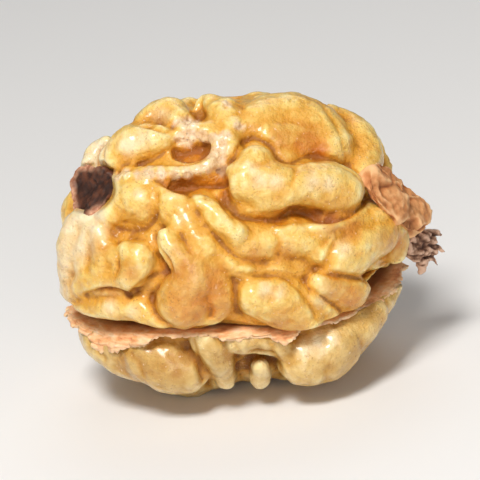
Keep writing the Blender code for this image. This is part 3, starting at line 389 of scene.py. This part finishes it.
def back_spot(degrees, height, radius, proud):
    """Middle of a fold of the far side."""
    turn = math.radians(degrees)
    share = math.sqrt(max(1 - (height / HALF_HEIGHT) ** 2, 0.0))
    place = Vector((HALF_LENGTH * share * math.sin(turn), -HALF_DEPTH * share * math.cos(turn), height))
    normal = Vector((place.x / HALF_LENGTH ** 2, place.y / HALF_DEPTH ** 2, place.z / HALF_HEIGHT ** 2))
    return CENTRE + place + normal.normalized() * (proud - radius)


def through(points, step=0.30):
    """Smooth run of places and radii through the given ones, a share of the radius apart."""
    rows = np.array(points, float)
    reach = np.concatenate(([0], np.cumsum(np.linalg.norm(np.diff(rows[:, :3], axis=0), axis=1))))
    closed = np.vstack((2 * rows[0] - rows[1], rows, 2 * rows[-1] - rows[-2]))
    count = max(4, int(reach[-1] / (step * rows[:, 3].mean())))
    run = []
    for along in np.linspace(0, reach[-1], count + 1):
        k = min(int(np.searchsorted(reach, along, side="right")) - 1, len(rows) - 2)
        t = (along - reach[k]) / (reach[k + 1] - reach[k])
        a, b, c, d = closed[k:k + 4]
        run.append(0.5 * ((2 * b) + (c - a) * t + (2 * a - 5 * b + 4 * c - d) * t ** 2
                          + (3 * b - a - 3 * c + d) * t ** 3))
    return run


def clear_choice():
    for thing in bpy.context.view_layer.objects:
        thing.select_set(False)


def choose(thing):
    clear_choice()
    thing.select_set(True)
    bpy.context.view_layer.objects.active = thing
    return thing


def apply_modifier(thing, kind, **settings):
    """Adds one modifier and applies it, as the last touch of a step."""
    choose(thing)
    made = thing.modifiers.new(kind.title(), kind)
    for key, value in settings.items():
        setattr(made, key, value)
    bpy.ops.object.modifier_apply(modifier=made.name)


def rounded(run):
    """The run with its two ends drawn out to round tips."""
    run = [np.asarray(r, float) for r in run]
    tips = []
    for end, inner in ((run[0], run[1]), (run[-1], run[-2])):
        way = end[:3] - inner[:3]
        way = way / (np.linalg.norm(way) + 1e-9)
        tips.append([np.append(end[:3] + way * end[3] * math.sin(t), end[3] * math.cos(t))
                     for t in (0.45, 0.85, 1.2, 1.5)])
    return tips[0][::-1] + run + tips[1]


def tubes(name, strings):
    """Soft tubes, one to a run of places and radii, as one mesh."""
    clear_choice()
    data = bpy.data.curves.new(name, "CURVE")
    data.dimensions, data.bevel_depth, data.bevel_resolution, data.use_fill_caps = "3D", MM, 5, True
    for points in strings:
        run = rounded(through(points))
        spline = data.splines.new("POLY")
        spline.points.add(len(run) - 1)
        for point, (x, y, z, radius) in zip(spline.points, run):
            point.co, point.radius = (x * MM, y * MM, z * MM, 1), max(radius, 0.02)
    made = bpy.data.objects.new(name, data)
    bpy.context.scene.collection.objects.link(made)
    choose(made)
    bpy.ops.object.convert(target="MESH")
    return bpy.context.object


def ropes(name, strings):
    """Soft ropes, one to a fold, and the core they lie on, joined in one mesh."""
    rope = tubes(name + "_ropes", strings)
    clear_choice()
    bpy.ops.mesh.primitive_ico_sphere_add(subdivisions=5, radius=MM, location=CENTRE * MM)
    body = bpy.context.object
    body.name = name
    body.scale = (HALF_LENGTH * CORE, HALF_DEPTH * CORE, HALF_HEIGHT * CORE)
    bpy.ops.object.transform_apply(location=True, rotation=True, scale=True)
    rope.select_set(True)
    bpy.ops.object.join()
    return body


def front_strings(folds):
    return [[(*front_spot(a, u, r, proud), r) for a, u, r in points] for points, proud in folds.values()]


def back_strings(folds):
    return [[(*back_spot(d, h, r, proud), r) for d, h, r in points] for points, proud in folds]


def under_strings():
    return [[(CENTRE.x + x, CENTRE.y + y, low + r, r) for x, y, low, r in points]
            for points in UNDERSIDE]


def cut_flat(thing, height, keep_above):
    """Cuts the piece level at the height and closes it there."""
    choose(thing)
    bpy.ops.object.mode_set(mode="EDIT")
    bpy.ops.mesh.select_all(action="SELECT")
    bpy.ops.mesh.bisect(plane_co=(0, 0, height * MM), plane_no=(0, 0, 1), use_fill=True, threshold=1e-7,
                        clear_inner=keep_above, clear_outer=not keep_above)
    bpy.ops.object.mode_set(mode="OBJECT")


def get_points(thing):
    flat = np.empty(len(thing.data.vertices) * 3)
    thing.data.vertices.foreach_get("co", flat)
    return flat.reshape(-1, 3)


def set_points(thing, points):
    thing.data.vertices.foreach_set("co", points.astype(float).ravel())
    thing.data.update()


def push_out(thing, points, normals, amount):
    """Moves each place, in mm, along its normal by its own amount."""
    set_points(thing, (points + normals * amount[:, None]) * MM)


def shade_smooth(thing):
    choose(thing)
    bpy.ops.object.shade_smooth()
    return thing


def cloud(points, size, seed):
    """Soft noise from -1 to 1 at the places, its lumps about size mm across."""
    side = 32
    lattice = np.random.RandomState(seed).rand(side, side, side) * 2 - 1
    turned = points @ NOISE_TURN / size
    cell = np.floor(turned).astype(int)
    t = turned - cell
    t = t * t * (3 - 2 * t)
    total = np.zeros(len(points))
    for corner in range(8):
        step = np.array((corner & 1, corner >> 1 & 1, corner >> 2 & 1))
        place = (cell + step) % side
        total += np.where(step, t, 1 - t).prod(1) * lattice[place[:, 0], place[:, 1], place[:, 2]]
    return total


def clouds(points, layers):
    """Sum of layers of noise; a layer is mm high, mm across its lumps, seed."""
    return sum(height * cloud(points, size, seed) for height, size, seed in layers)


def plates(points, size, seed):
    """Broken plates about size mm across, each tilted its own way, with cracks between them."""
    dice = np.random.RandomState(seed)
    low, high = points.min(0), points.max(0)
    count = int(np.prod((high - low) / size)) + 2
    middles = low + dice.rand(count, 3) * (high - low)
    tilts, heights = dice.randn(count, 3) * 0.24, dice.rand(count) - 0.5
    ragged = points + 0.35 * np.stack([cloud(points, 0.9, seed + k) for k in (1, 2, 3)], 1)
    apart = np.linalg.norm(ragged[:, None] - middles[None], axis=2)
    two = np.argsort(apart, axis=1)[:, :2]
    rows = np.arange(len(points))
    first, second = apart[rows, two[:, 0]], apart[rows, two[:, 1]]
    tilt = ((points - middles[two[:, 0]]) * tilts[two[:, 0]]).sum(1) + 0.4 * heights[two[:, 0]]
    tilt = np.clip(tilt, -0.36, 0.36)
    crack = np.clip((second - first) / (0.10 * size), 0, 1)
    return tilt * crack - 0.06 * (1 - crack)


def seam_wave(x, y):
    """How far the seam rises or falls from level, x and y in mm from the kernel's middle."""
    left = np.exp(-((x + 6) ** 2 / 60 + (y + 13) ** 2 / 90))
    right = np.exp(-((x - 7) ** 2 / 40 + (y + 13) ** 2 / 90))
    return 0.9 * left - 0.4 * right


def follow_wave(thing, lift=None):
    """Bends the piece near the seam along the seam's wave, and draws the front edge up by the lift."""
    p = get_points(thing) / MM
    x, y = p[:, 0] - CENTRE.x, p[:, 1] - CENTRE.y
    near = np.exp(-np.abs(p[:, 2] - SEAM_Z) / 3.0)
    p[:, 2] += near * seam_wave(x, y)
    if lift:
        edge = np.clip(1 - (p[:, 2] - SEAM_Z) / 3.4, 0, 1) ** 2
        p[:, 2] += edge * np.clip(-y / 5, 0, 1) * np.interp(x, *zip(*lift))
    set_points(thing, p * MM)


def surface_normals(thing, rounds):
    flat = np.empty(len(thing.data.vertices) * 3)
    thing.data.vertices.foreach_get("normal", flat)
    normals = relaxed(flat.reshape(-1, 3), neighbours(thing), rounds)
    return normals / (np.linalg.norm(normals, axis=1)[:, None] + 1e-9)


def front_places(points):
    """Places across, up and out from the kernel's middle, from places in mm."""
    return (points - np.array(CENTRE)) @ np.array((ACROSS, UP_PLANE, OUT_PLANE)).T


def draw_strokes(thing, strokes, sharp, steep=1.0):
    """Pushes the skin in along lines drawn over the front; a sharp stroke makes a V, a soft one a bowl."""
    points = get_points(thing) / MM
    normals = surface_normals(thing, 6)
    across, up, _ = front_places(points).T
    facing = np.clip((normals @ np.array(OUT_PLANE)) * 2.5, 0, 1)
    push = np.zeros(len(points))
    for stroke in strokes:
        run = np.array(through([(a, u, w, abs(d)) for a, u, w, d in stroke], step=0.2))
        sign = -1 if stroke[0][3] < 0 else 1
        best = np.zeros(len(points))
        for a, u, w, d in run:
            near = np.clip(steep * (1 - np.hypot(across - a, up - u) / (w * STROKE_WIDTH)), 0, 1)
            shape = near ** 2 if sharp else near * near * (3 - 2 * near)
            best = np.maximum(best, shape * d)
        push += sign * best * (STROKE_DEPTH if sharp else 1)
    push_out(thing, points, normals, -push * facing)


def roughen_torn(thing):
    """Rags the skin where it is torn."""
    points = get_points(thing) / MM
    across, up, out = front_places(points).T
    spots = np.array(TORN)
    near = (1.6 - np.hypot(across[:, None] - spots[:, 0], up[:, None] - spots[:, 1]) / spots[:, 2]).max(1)
    rags = clouds(points, RAGS) * np.clip(near, 0, 1) * (out > 0.5)
    push_out(thing, points, surface_normals(thing, 3), rags)


def press_pocket(thing):
    """Presses the skin back behind the lining flake, so that the flake lies in a hollow of its own."""
    places = front_places(get_points(thing) / MM)
    spots = np.array(LINING_OUTLINE + [LINING_MIDDLE])
    apart = np.hypot(places[:, None, 0] - spots[:, 0], places[:, None, 1] - spots[:, 1]) + 0.3
    floor_out = (spots[:, 2] / apart ** 3).sum(1) / (1 / apart ** 3).sum(1) - 0.9
    a, u, wide, high = POCKET
    inside = np.clip(4 * (1 - np.hypot((places[:, 0] - a) / wide, (places[:, 1] - u) / high)), 0, 1)
    back = np.maximum(places[:, 2] - floor_out, 0) * inside * (places[:, 2] > 0)
    set_points(thing, (get_points(thing) / MM - np.outer(back, OUT_PLANE)) * MM)


def weather(thing):
    """Winding furrows over the sides and back, and a slight unevenness all over."""
    points = get_points(thing) / MM
    normals = surface_normals(thing, 6)
    hidden = np.clip((1.5 - front_places(points)[:, 2]) / 4, 0, 1)
    bent = points + 1.3 * np.stack([cloud(points, 4.2, seed) for seed in (16, 17, 18)], 1)
    furrow = 1 - np.abs(np.sin(math.pi * FURROW_RUNS * clouds(bent, WINDINGS))) ** 0.6
    swell = clouds(points, SWELLS)
    swell -= 0.05 * np.clip(1 - np.abs(cloud(bent, 1.7, 19)) / 0.2, 0, 1)        # fine wrinkles
    push_out(thing, points, normals, swell - hidden * FURROW_DEPTH * furrow)


def kernel_half(name, strings, above):
    half = ropes(name, strings)
    apply_modifier(half, "REMESH", mode="VOXEL", voxel_size=GRAIN * MM)
    apply_modifier(half, "SMOOTH", factor=0.5, iterations=SOFTEN)
    weather(half)
    if above:
        draw_strokes(half, HOLLOWS, False, 2.4)
        draw_strokes(half, RIDGES, False)
        press_pocket(half)
    draw_strokes(half, CREASES if above else LOWER_CREASES, True)
    apply_modifier(half, "SMOOTH", factor=0.5, iterations=2)
    if above:
        roughen_torn(half)
    cut_flat(half, SEAM_Z + (SEAM_GAP if above else -SEAM_GAP), above)
    follow_wave(half, EDGE_LIFT if above else None)
    if not above:
        cut_flat(half, 0.0, True)
        points = get_points(half)
        points[:, 2] = np.maximum(points[:, 2], 0)
        set_points(half, points)
    return shade_smooth(half)


# ======================================================================================
# surface measures the finishes read
# ======================================================================================

def neighbours(thing):
    pairs = np.empty(len(thing.data.edges) * 2, int)
    thing.data.edges.foreach_get("vertices", pairs)
    return pairs.reshape(-1, 2)


def relaxed(values, pairs, rounds):
    """Values averaged with their neighbours' the given number of times."""
    count = len(values)
    a, b = np.concatenate((pairs[:, 0], pairs[:, 1])), np.concatenate((pairs[:, 1], pairs[:, 0]))
    share = 1 / np.maximum(np.bincount(a, minlength=count), 1)
    out = values.copy()
    for _ in range(rounds):
        if out.ndim == 1:
            out = 0.4 * out + 0.6 * np.bincount(a, out[b], count) * share
        else:
            for k in range(out.shape[1]):
                out[:, k] = 0.4 * out[:, k] + 0.6 * np.bincount(a, out[b, k], count) * share
    return out


def keep_measure(thing, name, values):
    layer = thing.data.attributes.new(name, "FLOAT", "POINT")
    layer.data.foreach_set("value", np.clip(values, 0, 1).astype(np.float32))


def measure_furrows(thing):
    """Stores how deep each place lies in a furrow, from the mesh's own shape, in two widths."""
    points = get_points(thing) / MM
    pairs, normals = neighbours(thing), surface_normals(thing, 4)
    for name, rounds, span in FURROW_WIDTHS:
        sunk = ((relaxed(points, pairs, rounds) - points) * normals).sum(1)
        keep_measure(thing, name, 0.5 + sunk / span)


def paint(thing, name, spots, soft=0.5, ragged=0.25, seed=41):
    """Stores a patch laid over the front with a ragged edge: places across and up, then radius."""
    points = get_points(thing) / MM
    across, up, out = front_places(points).T
    value = np.full(len(points), -9.0)
    for a, u, r in spots:
        value = np.maximum(value, (r - np.hypot(across - a, up - u)) / soft)
    value += ragged * (cloud(points, 0.9, seed) + 0.6 * cloud(points, 0.4, seed + 1)) / soft
    keep_measure(thing, name, (value + 0.5) * (out > 0.5))


# ======================================================================================
# finishes
# ======================================================================================

class Wire:
    """An output socket that can be used in sums."""

    def __init__(self, finish, socket):
        self.finish, self.socket = finish, socket

    def maths(self, operation, *values):
        return self.finish.node("ShaderNodeMath", {"operation": operation}, dict(enumerate(values)))

    def __abs__(self):
        return self.maths("ABSOLUTE", self)

    def __add__(self, other):
        return self.maths("ADD", self, other)

    def __radd__(self, other):
        return self.maths("ADD", other, self)

    def __sub__(self, other):
        return self.maths("SUBTRACT", self, other)

    def __rsub__(self, other):
        return self.maths("SUBTRACT", other, self)

    def __mul__(self, other):
        return self.maths("MULTIPLY", self, other)

    def __rmul__(self, other):
        return self.maths("MULTIPLY", other, self)

    def between(self, low, high):
        """0 below low, 1 above high, smooth between."""
        return self.finish.node("ShaderNodeMapRange", {"interpolation_type": "SMOOTHSTEP"},
                                {"Value": self, "From Min": low, "From Max": high})


class Finish:
    """A material made with node expressions."""

    def __init__(self, name):
        self.material = bpy.data.materials.new(name)
        self.material.use_nodes = True
        self.tree = self.material.node_tree
        self.skin = self.tree.nodes["Principled BSDF"]

    def node(self, kind, settings=None, inputs=None, out=0):
        """Adds one node; its settings may hold a colour ramp's stops."""
        made = self.tree.nodes.new(kind)
        for key, value in (settings or {}).items():
            if key == "stops":
                ramp = made.color_ramp
                while len(ramp.elements) < len(value):
                    ramp.elements.new(0.5)
                for element, (place, colour) in zip(ramp.elements, value):
                    element.position, element.color = place, (*colour, 1)
            else:
                setattr(made, key, value)
        for key, value in (inputs or {}).items():
            self.feed(made.inputs[key], value)
        return Wire(self, made.outputs[out])

    def feed(self, socket, value):
        """Joins a wire to the socket, or writes a plain value in it."""
        if isinstance(value, Wire):
            self.tree.links.new(value.socket, socket)
        elif isinstance(value, tuple) and len(value) == 3 and socket.type == "RGBA":
            socket.default_value = (*value, 1)
        else:
            socket.default_value = value

    def place(self):
        return self.node("ShaderNodeTexCoord", out="Object")

    def noise(self, size, detail=3.0, roughness=0.5, at=None, distortion=0.0):
        """Noise with lumps about size mm across."""
        return self.node("ShaderNodeTexNoise", None,
                         {"Vector": at or self.place(), "Scale": 1 / (size * MM), "Detail": detail,
                          "Roughness": roughness, "Distortion": distortion}, "Fac")

    def measure(self, name):
        return self.node("ShaderNodeAttribute", {"attribute_name": name}, out="Fac")

    def mix(self, share, a, b, blend="MIX"):
        return self.node("ShaderNodeMix", {"data_type": "RGBA", "blend_type": blend},
                         {0: share, 6: a, 7: b}, 2)

    def ramp(self, value, stops):
        colours = [(place, srgb(*colour)) for place, *colour in stops]
        return self.node("ShaderNodeValToRGB", {"stops": colours}, {"Fac": value}, "Color")

    def bump(self, height, depth, strength=1.0, under=None):
        inputs = {"Height": height, "Distance": depth * MM, "Strength": strength}
        if under:
            inputs["Normal"] = under
        return self.node("ShaderNodeBump", None, inputs, "Normal")

    def surface(self, **sockets):
        """Feeds the skin's sockets by name and gives back the material."""
        for name, value in sockets.items():
            self.feed(self.skin.inputs[name.replace("_", " ")], value)
        return self.material


def srgb(red, green, blue):
    """Linear values of a screen colour."""
    return tuple((c / 255 / 12.92) if c <= 10 else (((c / 255) + 0.055) / 1.055) ** 2.4
                 for c in (red, green, blue))


def kernel_skin(name, greyer, tan_and_shade_tint):
    """Waxy flesh: honey on the folds, amber in the furrows, brown in the deepest creases; paler on crests
    and darker into furrows partly as painted highlight and painted shade, with cream, amber and tan patches
    that are partly painted highlight and painted shade.
    """
    f = Finish(name)
    fine, wide = f.measure("furrow_fine"), f.measure("furrow_wide")
    blotch, mottle = f.noise(4.0, 3.0), f.noise(1.0, 4.0, 0.62)
    # lighter on crests and darker the deeper the furrow: partly the skin's own tone, partly painted
    # highlight and painted shade
    depth = 0.1 + wide * 0.5 + fine * 0.34 + (blotch - 0.5) * 0.36 + (mottle - 0.5) * 0.32
    colour = f.ramp(depth, HONEY_AND_FURROW_SHADE)
    colour = f.mix(greyer, colour, f.ramp(depth, GREYED_HONEY_AND_FURROW_SHADE))
    # cream patches: pale skin in places, painted highlights on crests in others
    colour = f.mix(f.measure("cream") * 0.85, colour, f.ramp(depth, CREAM_AND_HIGHLIGHT_SKIN))
    # amber patches: partly the skin's tone, partly painted shade and painted glow
    colour = f.mix(f.measure("amber") * 0.85, colour, f.ramp(depth, AMBER_AND_SHADE_SKIN))
    # tan patches multiply the colour down: partly darker skin, partly painted shade
    colour = f.mix(f.measure("tan") * 0.85, colour, tan_and_shade_tint, "MULTIPLY")
    colour = f.mix(f.measure("torn") * 0.9, colour, f.ramp(mottle, TORN_SKIN))
    speck = f.noise(0.24, 2.0, 0.5).between(0.60, 0.70) * f.noise(2.6, 2.0).between(0.42, 0.60)
    colour = f.mix(speck * 0.45, colour, srgb(*SPECK))
    crumb = f.noise(0.36, 3.0, 0.6).between(0.60, 0.70) * mottle.between(0.48, 0.60)
    colour = f.mix(crumb * 0.5, colour, srgb(*PALE_CRUMB))
    vein = f.noise(3.2, 3.0, 0.55, distortion=0.6)
    line = 1 - abs(vein - 0.5).between(0.0, 0.012)
    colour = f.mix(line * 0.12, colour, srgb(*VEIN))
    # painted shade: the deepest creases darkened
    colour = f.mix(fine.between(0.76, 1.0) * 0.42, colour, srgb(*CREASE_SHADE))
    gloss = 1 - fine.between(0.42, 0.68)
    rough = f.bump(f.noise(0.9, 3.0, 0.55), 0.26)
    return f.surface(Base_Color=colour, Roughness=0.34 + mottle * 0.2, Coat_Weight=gloss * 0.8,
                     Subsurface_Weight=0.18, Subsurface_Scale=0.0008, Subsurface_Radius=(1.0, 0.66, 0.24),
                     Specular_IOR_Level=0.5, Coat_Roughness=0.2,
                     Normal=f.bump(f.noise(0.3, 5.0, 0.62), 0.16, under=rough))


def membrane_paper():
    """Dry papery sheet with fibres running round it and a pale torn edge, darkened inside between the
    halves as painted shade.
    """
    f = Finish("membrane_paper")
    along = f.node("ShaderNodeMapping", {"vector_type": "POINT"},
                   {"Vector": f.place(), "Scale": (0.25, 0.25, 1.6)}, "Vector")
    fibres = f.noise(0.5, 4.0, 0.6, at=along)
    blotch = f.noise(2.0, 3.0)
    colour = f.ramp(fibres * 0.7 + blotch * 0.3, PAPER)
    edge = f.measure("torn_edge")
    colour = f.mix(edge * 0.75, colour, srgb(*TORN_PAPER))
    # painted shade on the sheet's inner part, between the halves
    colour = f.mix(f.measure("shade"), colour, srgb(*SHADED_PAPER))
    return f.surface(Base_Color=colour, Roughness=0.7, Subsurface_Weight=0.12, Subsurface_Scale=0.0006,
                     Normal=f.bump(fibres, 0.2, under=f.bump(f.noise(0.3, 4.0), 0.06)))


def pith_pink():
    """Corky pith: pinkish brown, chalky on the raised parts, brown in its cracks, the cracks' brown partly
    painted shade.
    """
    f = Finish("pith_brown_pink")
    fine, wide = f.measure("furrow_fine"), f.measure("furrow_wide")
    blotch, crumb = f.noise(2.2, 3.0), f.noise(0.5, 5.0, 0.65)
    depth = wide * 0.5 + fine * 0.5 + (blotch - 0.5) * 0.5 + (crumb - 0.5) * 0.35
    # darker the deeper the crack: partly the cork's tone, partly painted shade
    colour = f.ramp(depth, CORK_AND_CRACK_SHADE)
    return f.surface(Base_Color=colour, Roughness=0.72, Subsurface_Weight=0.1, Subsurface_Scale=0.0006,
                     Normal=f.bump(crumb, 0.12))


def pith_fibre():
    """Dry grey-brown shreds, paler where they fray and darker in the hollows between strands, partly as
    painted shade.
    """
    f = Finish("pith_fibre")
    fine = f.measure("furrow_fine")
    streak, blotch = f.noise(0.35, 4.0, 0.6), f.noise(1.6, 3.0)
    # darker in hollows: partly the fibres' tone, partly painted shade
    colour = f.ramp(fine * 0.4 + streak * 0.35 + blotch * 0.35, FIBRE_AND_HOLLOW_SHADE)
    return f.surface(Base_Color=colour, Roughness=0.75, Normal=f.bump(streak, 0.1))


def lining_brown():
    """Dark inner lining with a pinkish lip where it tore off; a little darker in its hollows, as painted
    shade.
    """
    f = Finish("lining_dark_brown")
    fine = f.measure("furrow_fine")
    blotch, streak = f.noise(1.4, 4.0, 0.6), f.noise(0.5, 4.0)
    dark = f.ramp(blotch * 0.6 + streak * 0.2 + fine * 0.2, LINING)
    lip = f.ramp(streak, LINING_LIP)
    return f.surface(Base_Color=f.mix(f.measure("lip"), dark, lip), Roughness=0.6,
                     Normal=f.bump(streak, 0.08))


def plain_finish(name, colour, roughness):
    return Finish(name).surface(Base_Color=colour, Roughness=roughness)


def dress(piece, material, node):
    piece.data.materials.clear()
    piece.data.materials.append(material)
    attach(piece, "root")
    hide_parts(node)


# ======================================================================================
# the kernel
# ======================================================================================

upper = kernel_half("upper_half_skin", front_strings(FRONT_UPPER) + back_strings(BACK_UPPER), True)
lower = kernel_half("lower_half_skin",
                    front_strings(FRONT_LOWER) + back_strings(BACK_LOWER) + under_strings(), False)
for half in (upper, lower):
    measure_furrows(half)
paint(upper, "cream", CREAM_AND_HIGHLIGHTS, soft=1.2, seed=41)
paint(upper, "amber", AMBER_AND_SHADE, soft=0.8, ragged=0.12, seed=43)
paint(upper, "torn", TORN, soft=0.4, ragged=0.35, seed=45)
paint(upper, "tan", TAN_AND_SHADE, soft=1.4, ragged=0.3, seed=46)
paint(lower, "cream", LOWER_PAINTED_HIGHLIGHT, soft=1.2, seed=41)
paint(lower, "tan", LOWER_TAN_AND_SHADE, soft=1.6, ragged=0.3, seed=46)
dress(upper, kernel_skin("kernel_skin_upper", UPPER_GREY, srgb(*UPPER_TINT)), "upper_half")
dress(lower, kernel_skin("kernel_skin_lower", LOWER_GREY, srgb(*LOWER_TINT)), "lower_half")


def sheet_between():
    """The membrane: a level sheet inside, wavy and torn where it comes out between the halves."""
    clear_choice()
    bpy.ops.mesh.primitive_grid_add(x_subdivisions=SHEET_TURNS, y_subdivisions=SHEET_RINGS, size=2)
    made = bpy.context.object
    made.name = "membrane_sheet"
    grid = get_points(made)
    degrees, ring = grid[:, 0] * 180, (grid[:, 1] + 1) / 2
    angle = np.radians(degrees)
    share = math.sqrt(1 - (SEAM_DROP / HALF_HEIGHT) ** 2) * SHEET_REACH
    edge = np.stack((HALF_LENGTH * share * np.sin(angle), -HALF_DEPTH * share * np.cos(angle),
                     0 * angle), 1)
    radius = np.linalg.norm(edge, axis=1)
    away = edge / radius[:, None]
    torn = clouds(edge, TEARS)
    places, past, droop = zip(*TORN_EDGE)
    past = np.maximum(np.interp(degrees, places, past) + torn, 0.02)
    droop = np.maximum(np.interp(degrees, places, droop) * (1 + 0.5 * torn), 0.05)
    inner = np.clip(ring / SHEET_PLAIN, 0, 1)
    outer = np.clip((ring - SHEET_PLAIN) / (1 - SHEET_PLAIN), 0, 1)
    bend = np.sin(outer * math.pi / 2)
    out = (radius - SHEET_BAND) * inner + (SHEET_BAND + past) * bend
    level = -droop * (1 - np.cos(outer * math.pi / 2)) ** 0.9
    place = away * out[:, None]
    place[:, 2] = level
    band = np.stack((edge[:, 0] * 0.22, edge[:, 1] * 0.22, outer * (SHEET_BAND + past + droop)), 1)
    crinkle = outer * (clouds(band, CRINKLES) + 0.30 * cloud(edge, 1.1, 33))
    place += away * (crinkle * (level < -0.2))[:, None]
    place[:, 2] += crinkle * 0.5 + 0.28 * outer * cloud(place, 2.8, 34)
    place[:, 2] += seam_wave(place[:, 0], place[:, 1]) + SEAM_Z
    place[:, :2] += np.array(CENTRE)[:2]
    set_points(made, place * MM)
    keep_measure(made, "torn_edge", (outer - 0.8) / 0.2)
    # painted shade: the sheet darkened toward its inside, between the halves
    keep_measure(made, "shade", 0.9 * (1 - outer * 2.2))
    choose(made)
    bpy.ops.object.mode_set(mode="EDIT")
    bpy.ops.mesh.select_all(action="SELECT")
    bpy.ops.mesh.remove_doubles(threshold=1e-6)
    bpy.ops.mesh.normals_make_consistent(inside=False)
    bpy.ops.object.mode_set(mode="OBJECT")
    apply_modifier(made, "SOLIDIFY", thickness=SHEET_THICK * MM, offset=0)
    return shade_smooth(made)


def flake(name, outline, middle, thickness, grain, crumbs, blocks, rounding):
    """Broken flake: a fan of faces through the outline, thickened, and roughened all over."""
    clear_choice()
    bpy.ops.mesh.primitive_circle_add(vertices=len(outline), radius=1, fill_type="TRIFAN")
    made = bpy.context.object
    made.name = name
    points = get_points(made)
    turn = np.degrees(np.arctan2(points[:, 1], points[:, 0]))
    hub = np.linalg.norm(points[:, :2], axis=1) < 0.5
    order = np.argsort(turn[~hub])
    points[np.flatnonzero(~hub)[order]] = np.array([at_front(*spot) for spot in outline])[::-1]
    points[hub] = np.array(at_front(*middle))
    set_points(made, points * MM)
    apply_modifier(made, "SUBSURF", levels=3, render_levels=3, subdivision_type=rounding)
    apply_modifier(made, "SOLIDIFY", thickness=thickness * MM, offset=0)
    apply_modifier(made, "REMESH", mode="VOXEL", voxel_size=grain * MM)
    apply_modifier(made, "SMOOTH", factor=0.5, iterations=4)
    points = get_points(made) / MM
    normals = surface_normals(made, 3)
    push_out(made, points, normals, clouds(points, crumbs) + blocks * plates(points, *PLATES))
    apply_modifier(made, "SMOOTH", factor=0.4, iterations=1)
    measure_furrows(made)
    return shade_smooth(made)


def mark_lip(thing):
    """Stores the pale lip, which runs along the outer side of the lining flake's rim."""
    places = front_places(get_points(thing) / MM)
    edge = through([(*spot, 1.0) for spot in LINING_OUTLINE + LINING_OUTLINE[:1]], step=0.3)
    away = np.min([np.linalg.norm(places - np.array(spot[:3]), axis=1) for spot in edge], axis=0)
    outside = np.clip((LIP_START - places[:, 0]) / 1.5, 0, 1)
    keep_measure(thing, "lip", (1 - away / LIP_WIDTH) * outside * 1.6)


membrane = sheet_between()
dress(membrane, membrane_paper(), "dividing_membrane")
pith = flake("pith_flake_corky", PITH_OUTLINE, PITH_MIDDLE, thickness=1.2, grain=0.12,
             crumbs=PITH_CRUMBS, blocks=1.0, rounding="CATMULL_CLARK")
dress(pith, pith_pink(), "pith_flake")
lining = flake("lining_flake_cup", LINING_OUTLINE, LINING_MIDDLE, thickness=0.5, grain=0.10,
               crumbs=LINING_CRUMBS, blocks=0.5, rounding="SIMPLE")
mark_lip(lining)
dress(lining, lining_brown(), "lining_flake")


def strands(name, runs, grain):
    """Tapering strands that join at their root, made one mesh."""
    made = tubes(name, [[(*at_front(a, u, o), r) for a, u, o, r in run] for run in runs])
    apply_modifier(made, "REMESH", mode="VOXEL", voxel_size=grain * MM)
    points = get_points(made) / MM
    normals = surface_normals(made, 3)
    across, up, out = front_places(points).T
    right, down = FIBRE_WAY
    along, side = right * across - down * up, down * across + right * up
    twisted = np.stack((0.22 * along, side + 0.3 * np.sin(along * 1.6), out), 1)
    rough = 0.34 * cloud(twisted, 0.34, 71) + 0.20 * cloud(points, 0.9, 72) + 0.06 * cloud(points, 0.25, 73)
    push_out(made, points, normals, rough)
    measure_furrows(made)
    return shade_smooth(made)


shreds = strands("pith_shreds_frayed", SHREDS, grain=0.1)
dress(shreds, pith_fibre(), "pith_shreds")


# ======================================================================================
# floor, light, camera
# ======================================================================================

def floor():
    bpy.ops.mesh.primitive_plane_add(size=4, location=(0, 0, 0))
    made = bpy.context.object
    made.name = "floor"
    made.data.materials.append(plain_finish("floor_white", (0.86, 0.86, 0.86), 0.9))


def lamp(name, azimuth, elevation, distance, size, power, tint=(1, 1, 1)):
    a, e = math.radians(azimuth), math.radians(elevation)
    aim = Vector((0, 0, CENTRE.z * MM))
    towards = Vector((math.sin(a) * math.cos(e), -math.cos(a) * math.cos(e), math.sin(e)))
    data = bpy.data.lights.new(name, "AREA")
    data.energy, data.size, data.color = power, size, tint
    made = bpy.data.objects.new(name, data)
    bpy.context.scene.collection.objects.link(made)
    made.location = aim + towards * distance
    made.rotation_euler = towards.to_track_quat("Z", "Y").to_euler()


def camera():
    """Long lens, on the line that the front is laid out square to."""
    data = bpy.data.cameras.new("camera")
    data.sensor_width, data.lens = 36, LENS
    data.clip_start, data.clip_end = 0.01, 10
    made = bpy.data.objects.new("camera", data)
    bpy.context.scene.collection.objects.link(made)
    right = ACROSS * math.cos(ROLL) - UP_PLANE * math.sin(ROLL)
    up = ACROSS * math.sin(ROLL) + UP_PLANE * math.cos(ROLL)
    look = Matrix((right, up, OUT_PLANE)).transposed().to_4x4()
    aim = (CENTRE + ACROSS * 0.8) * MM               # a little right of the middle, for the flake there
    made.matrix_world = Matrix.Translation(aim + OUT_PLANE * CAMERA_AWAY) @ look
    bpy.context.scene.camera = made


floor()
lamp("key", azimuth=-18, elevation=55, distance=0.45, size=0.12, power=1.85, tint=(1.0, 0.97, 0.93))
lamp("fill", azimuth=4, elevation=18, distance=0.6, size=0.30, power=0.72)
lamp("rim", azimuth=170, elevation=50, distance=0.5, size=0.3, power=0.4)
camera()
world = bpy.data.worlds.new("studio")
world.use_nodes = True
sky = world.node_tree.nodes["Background"].inputs
sky["Color"].default_value, sky["Strength"].default_value = (1.0, 0.98, 0.96, 1), 0.15
bpy.context.scene.world = world
bpy.context.scene.view_settings.view_transform = "Standard"
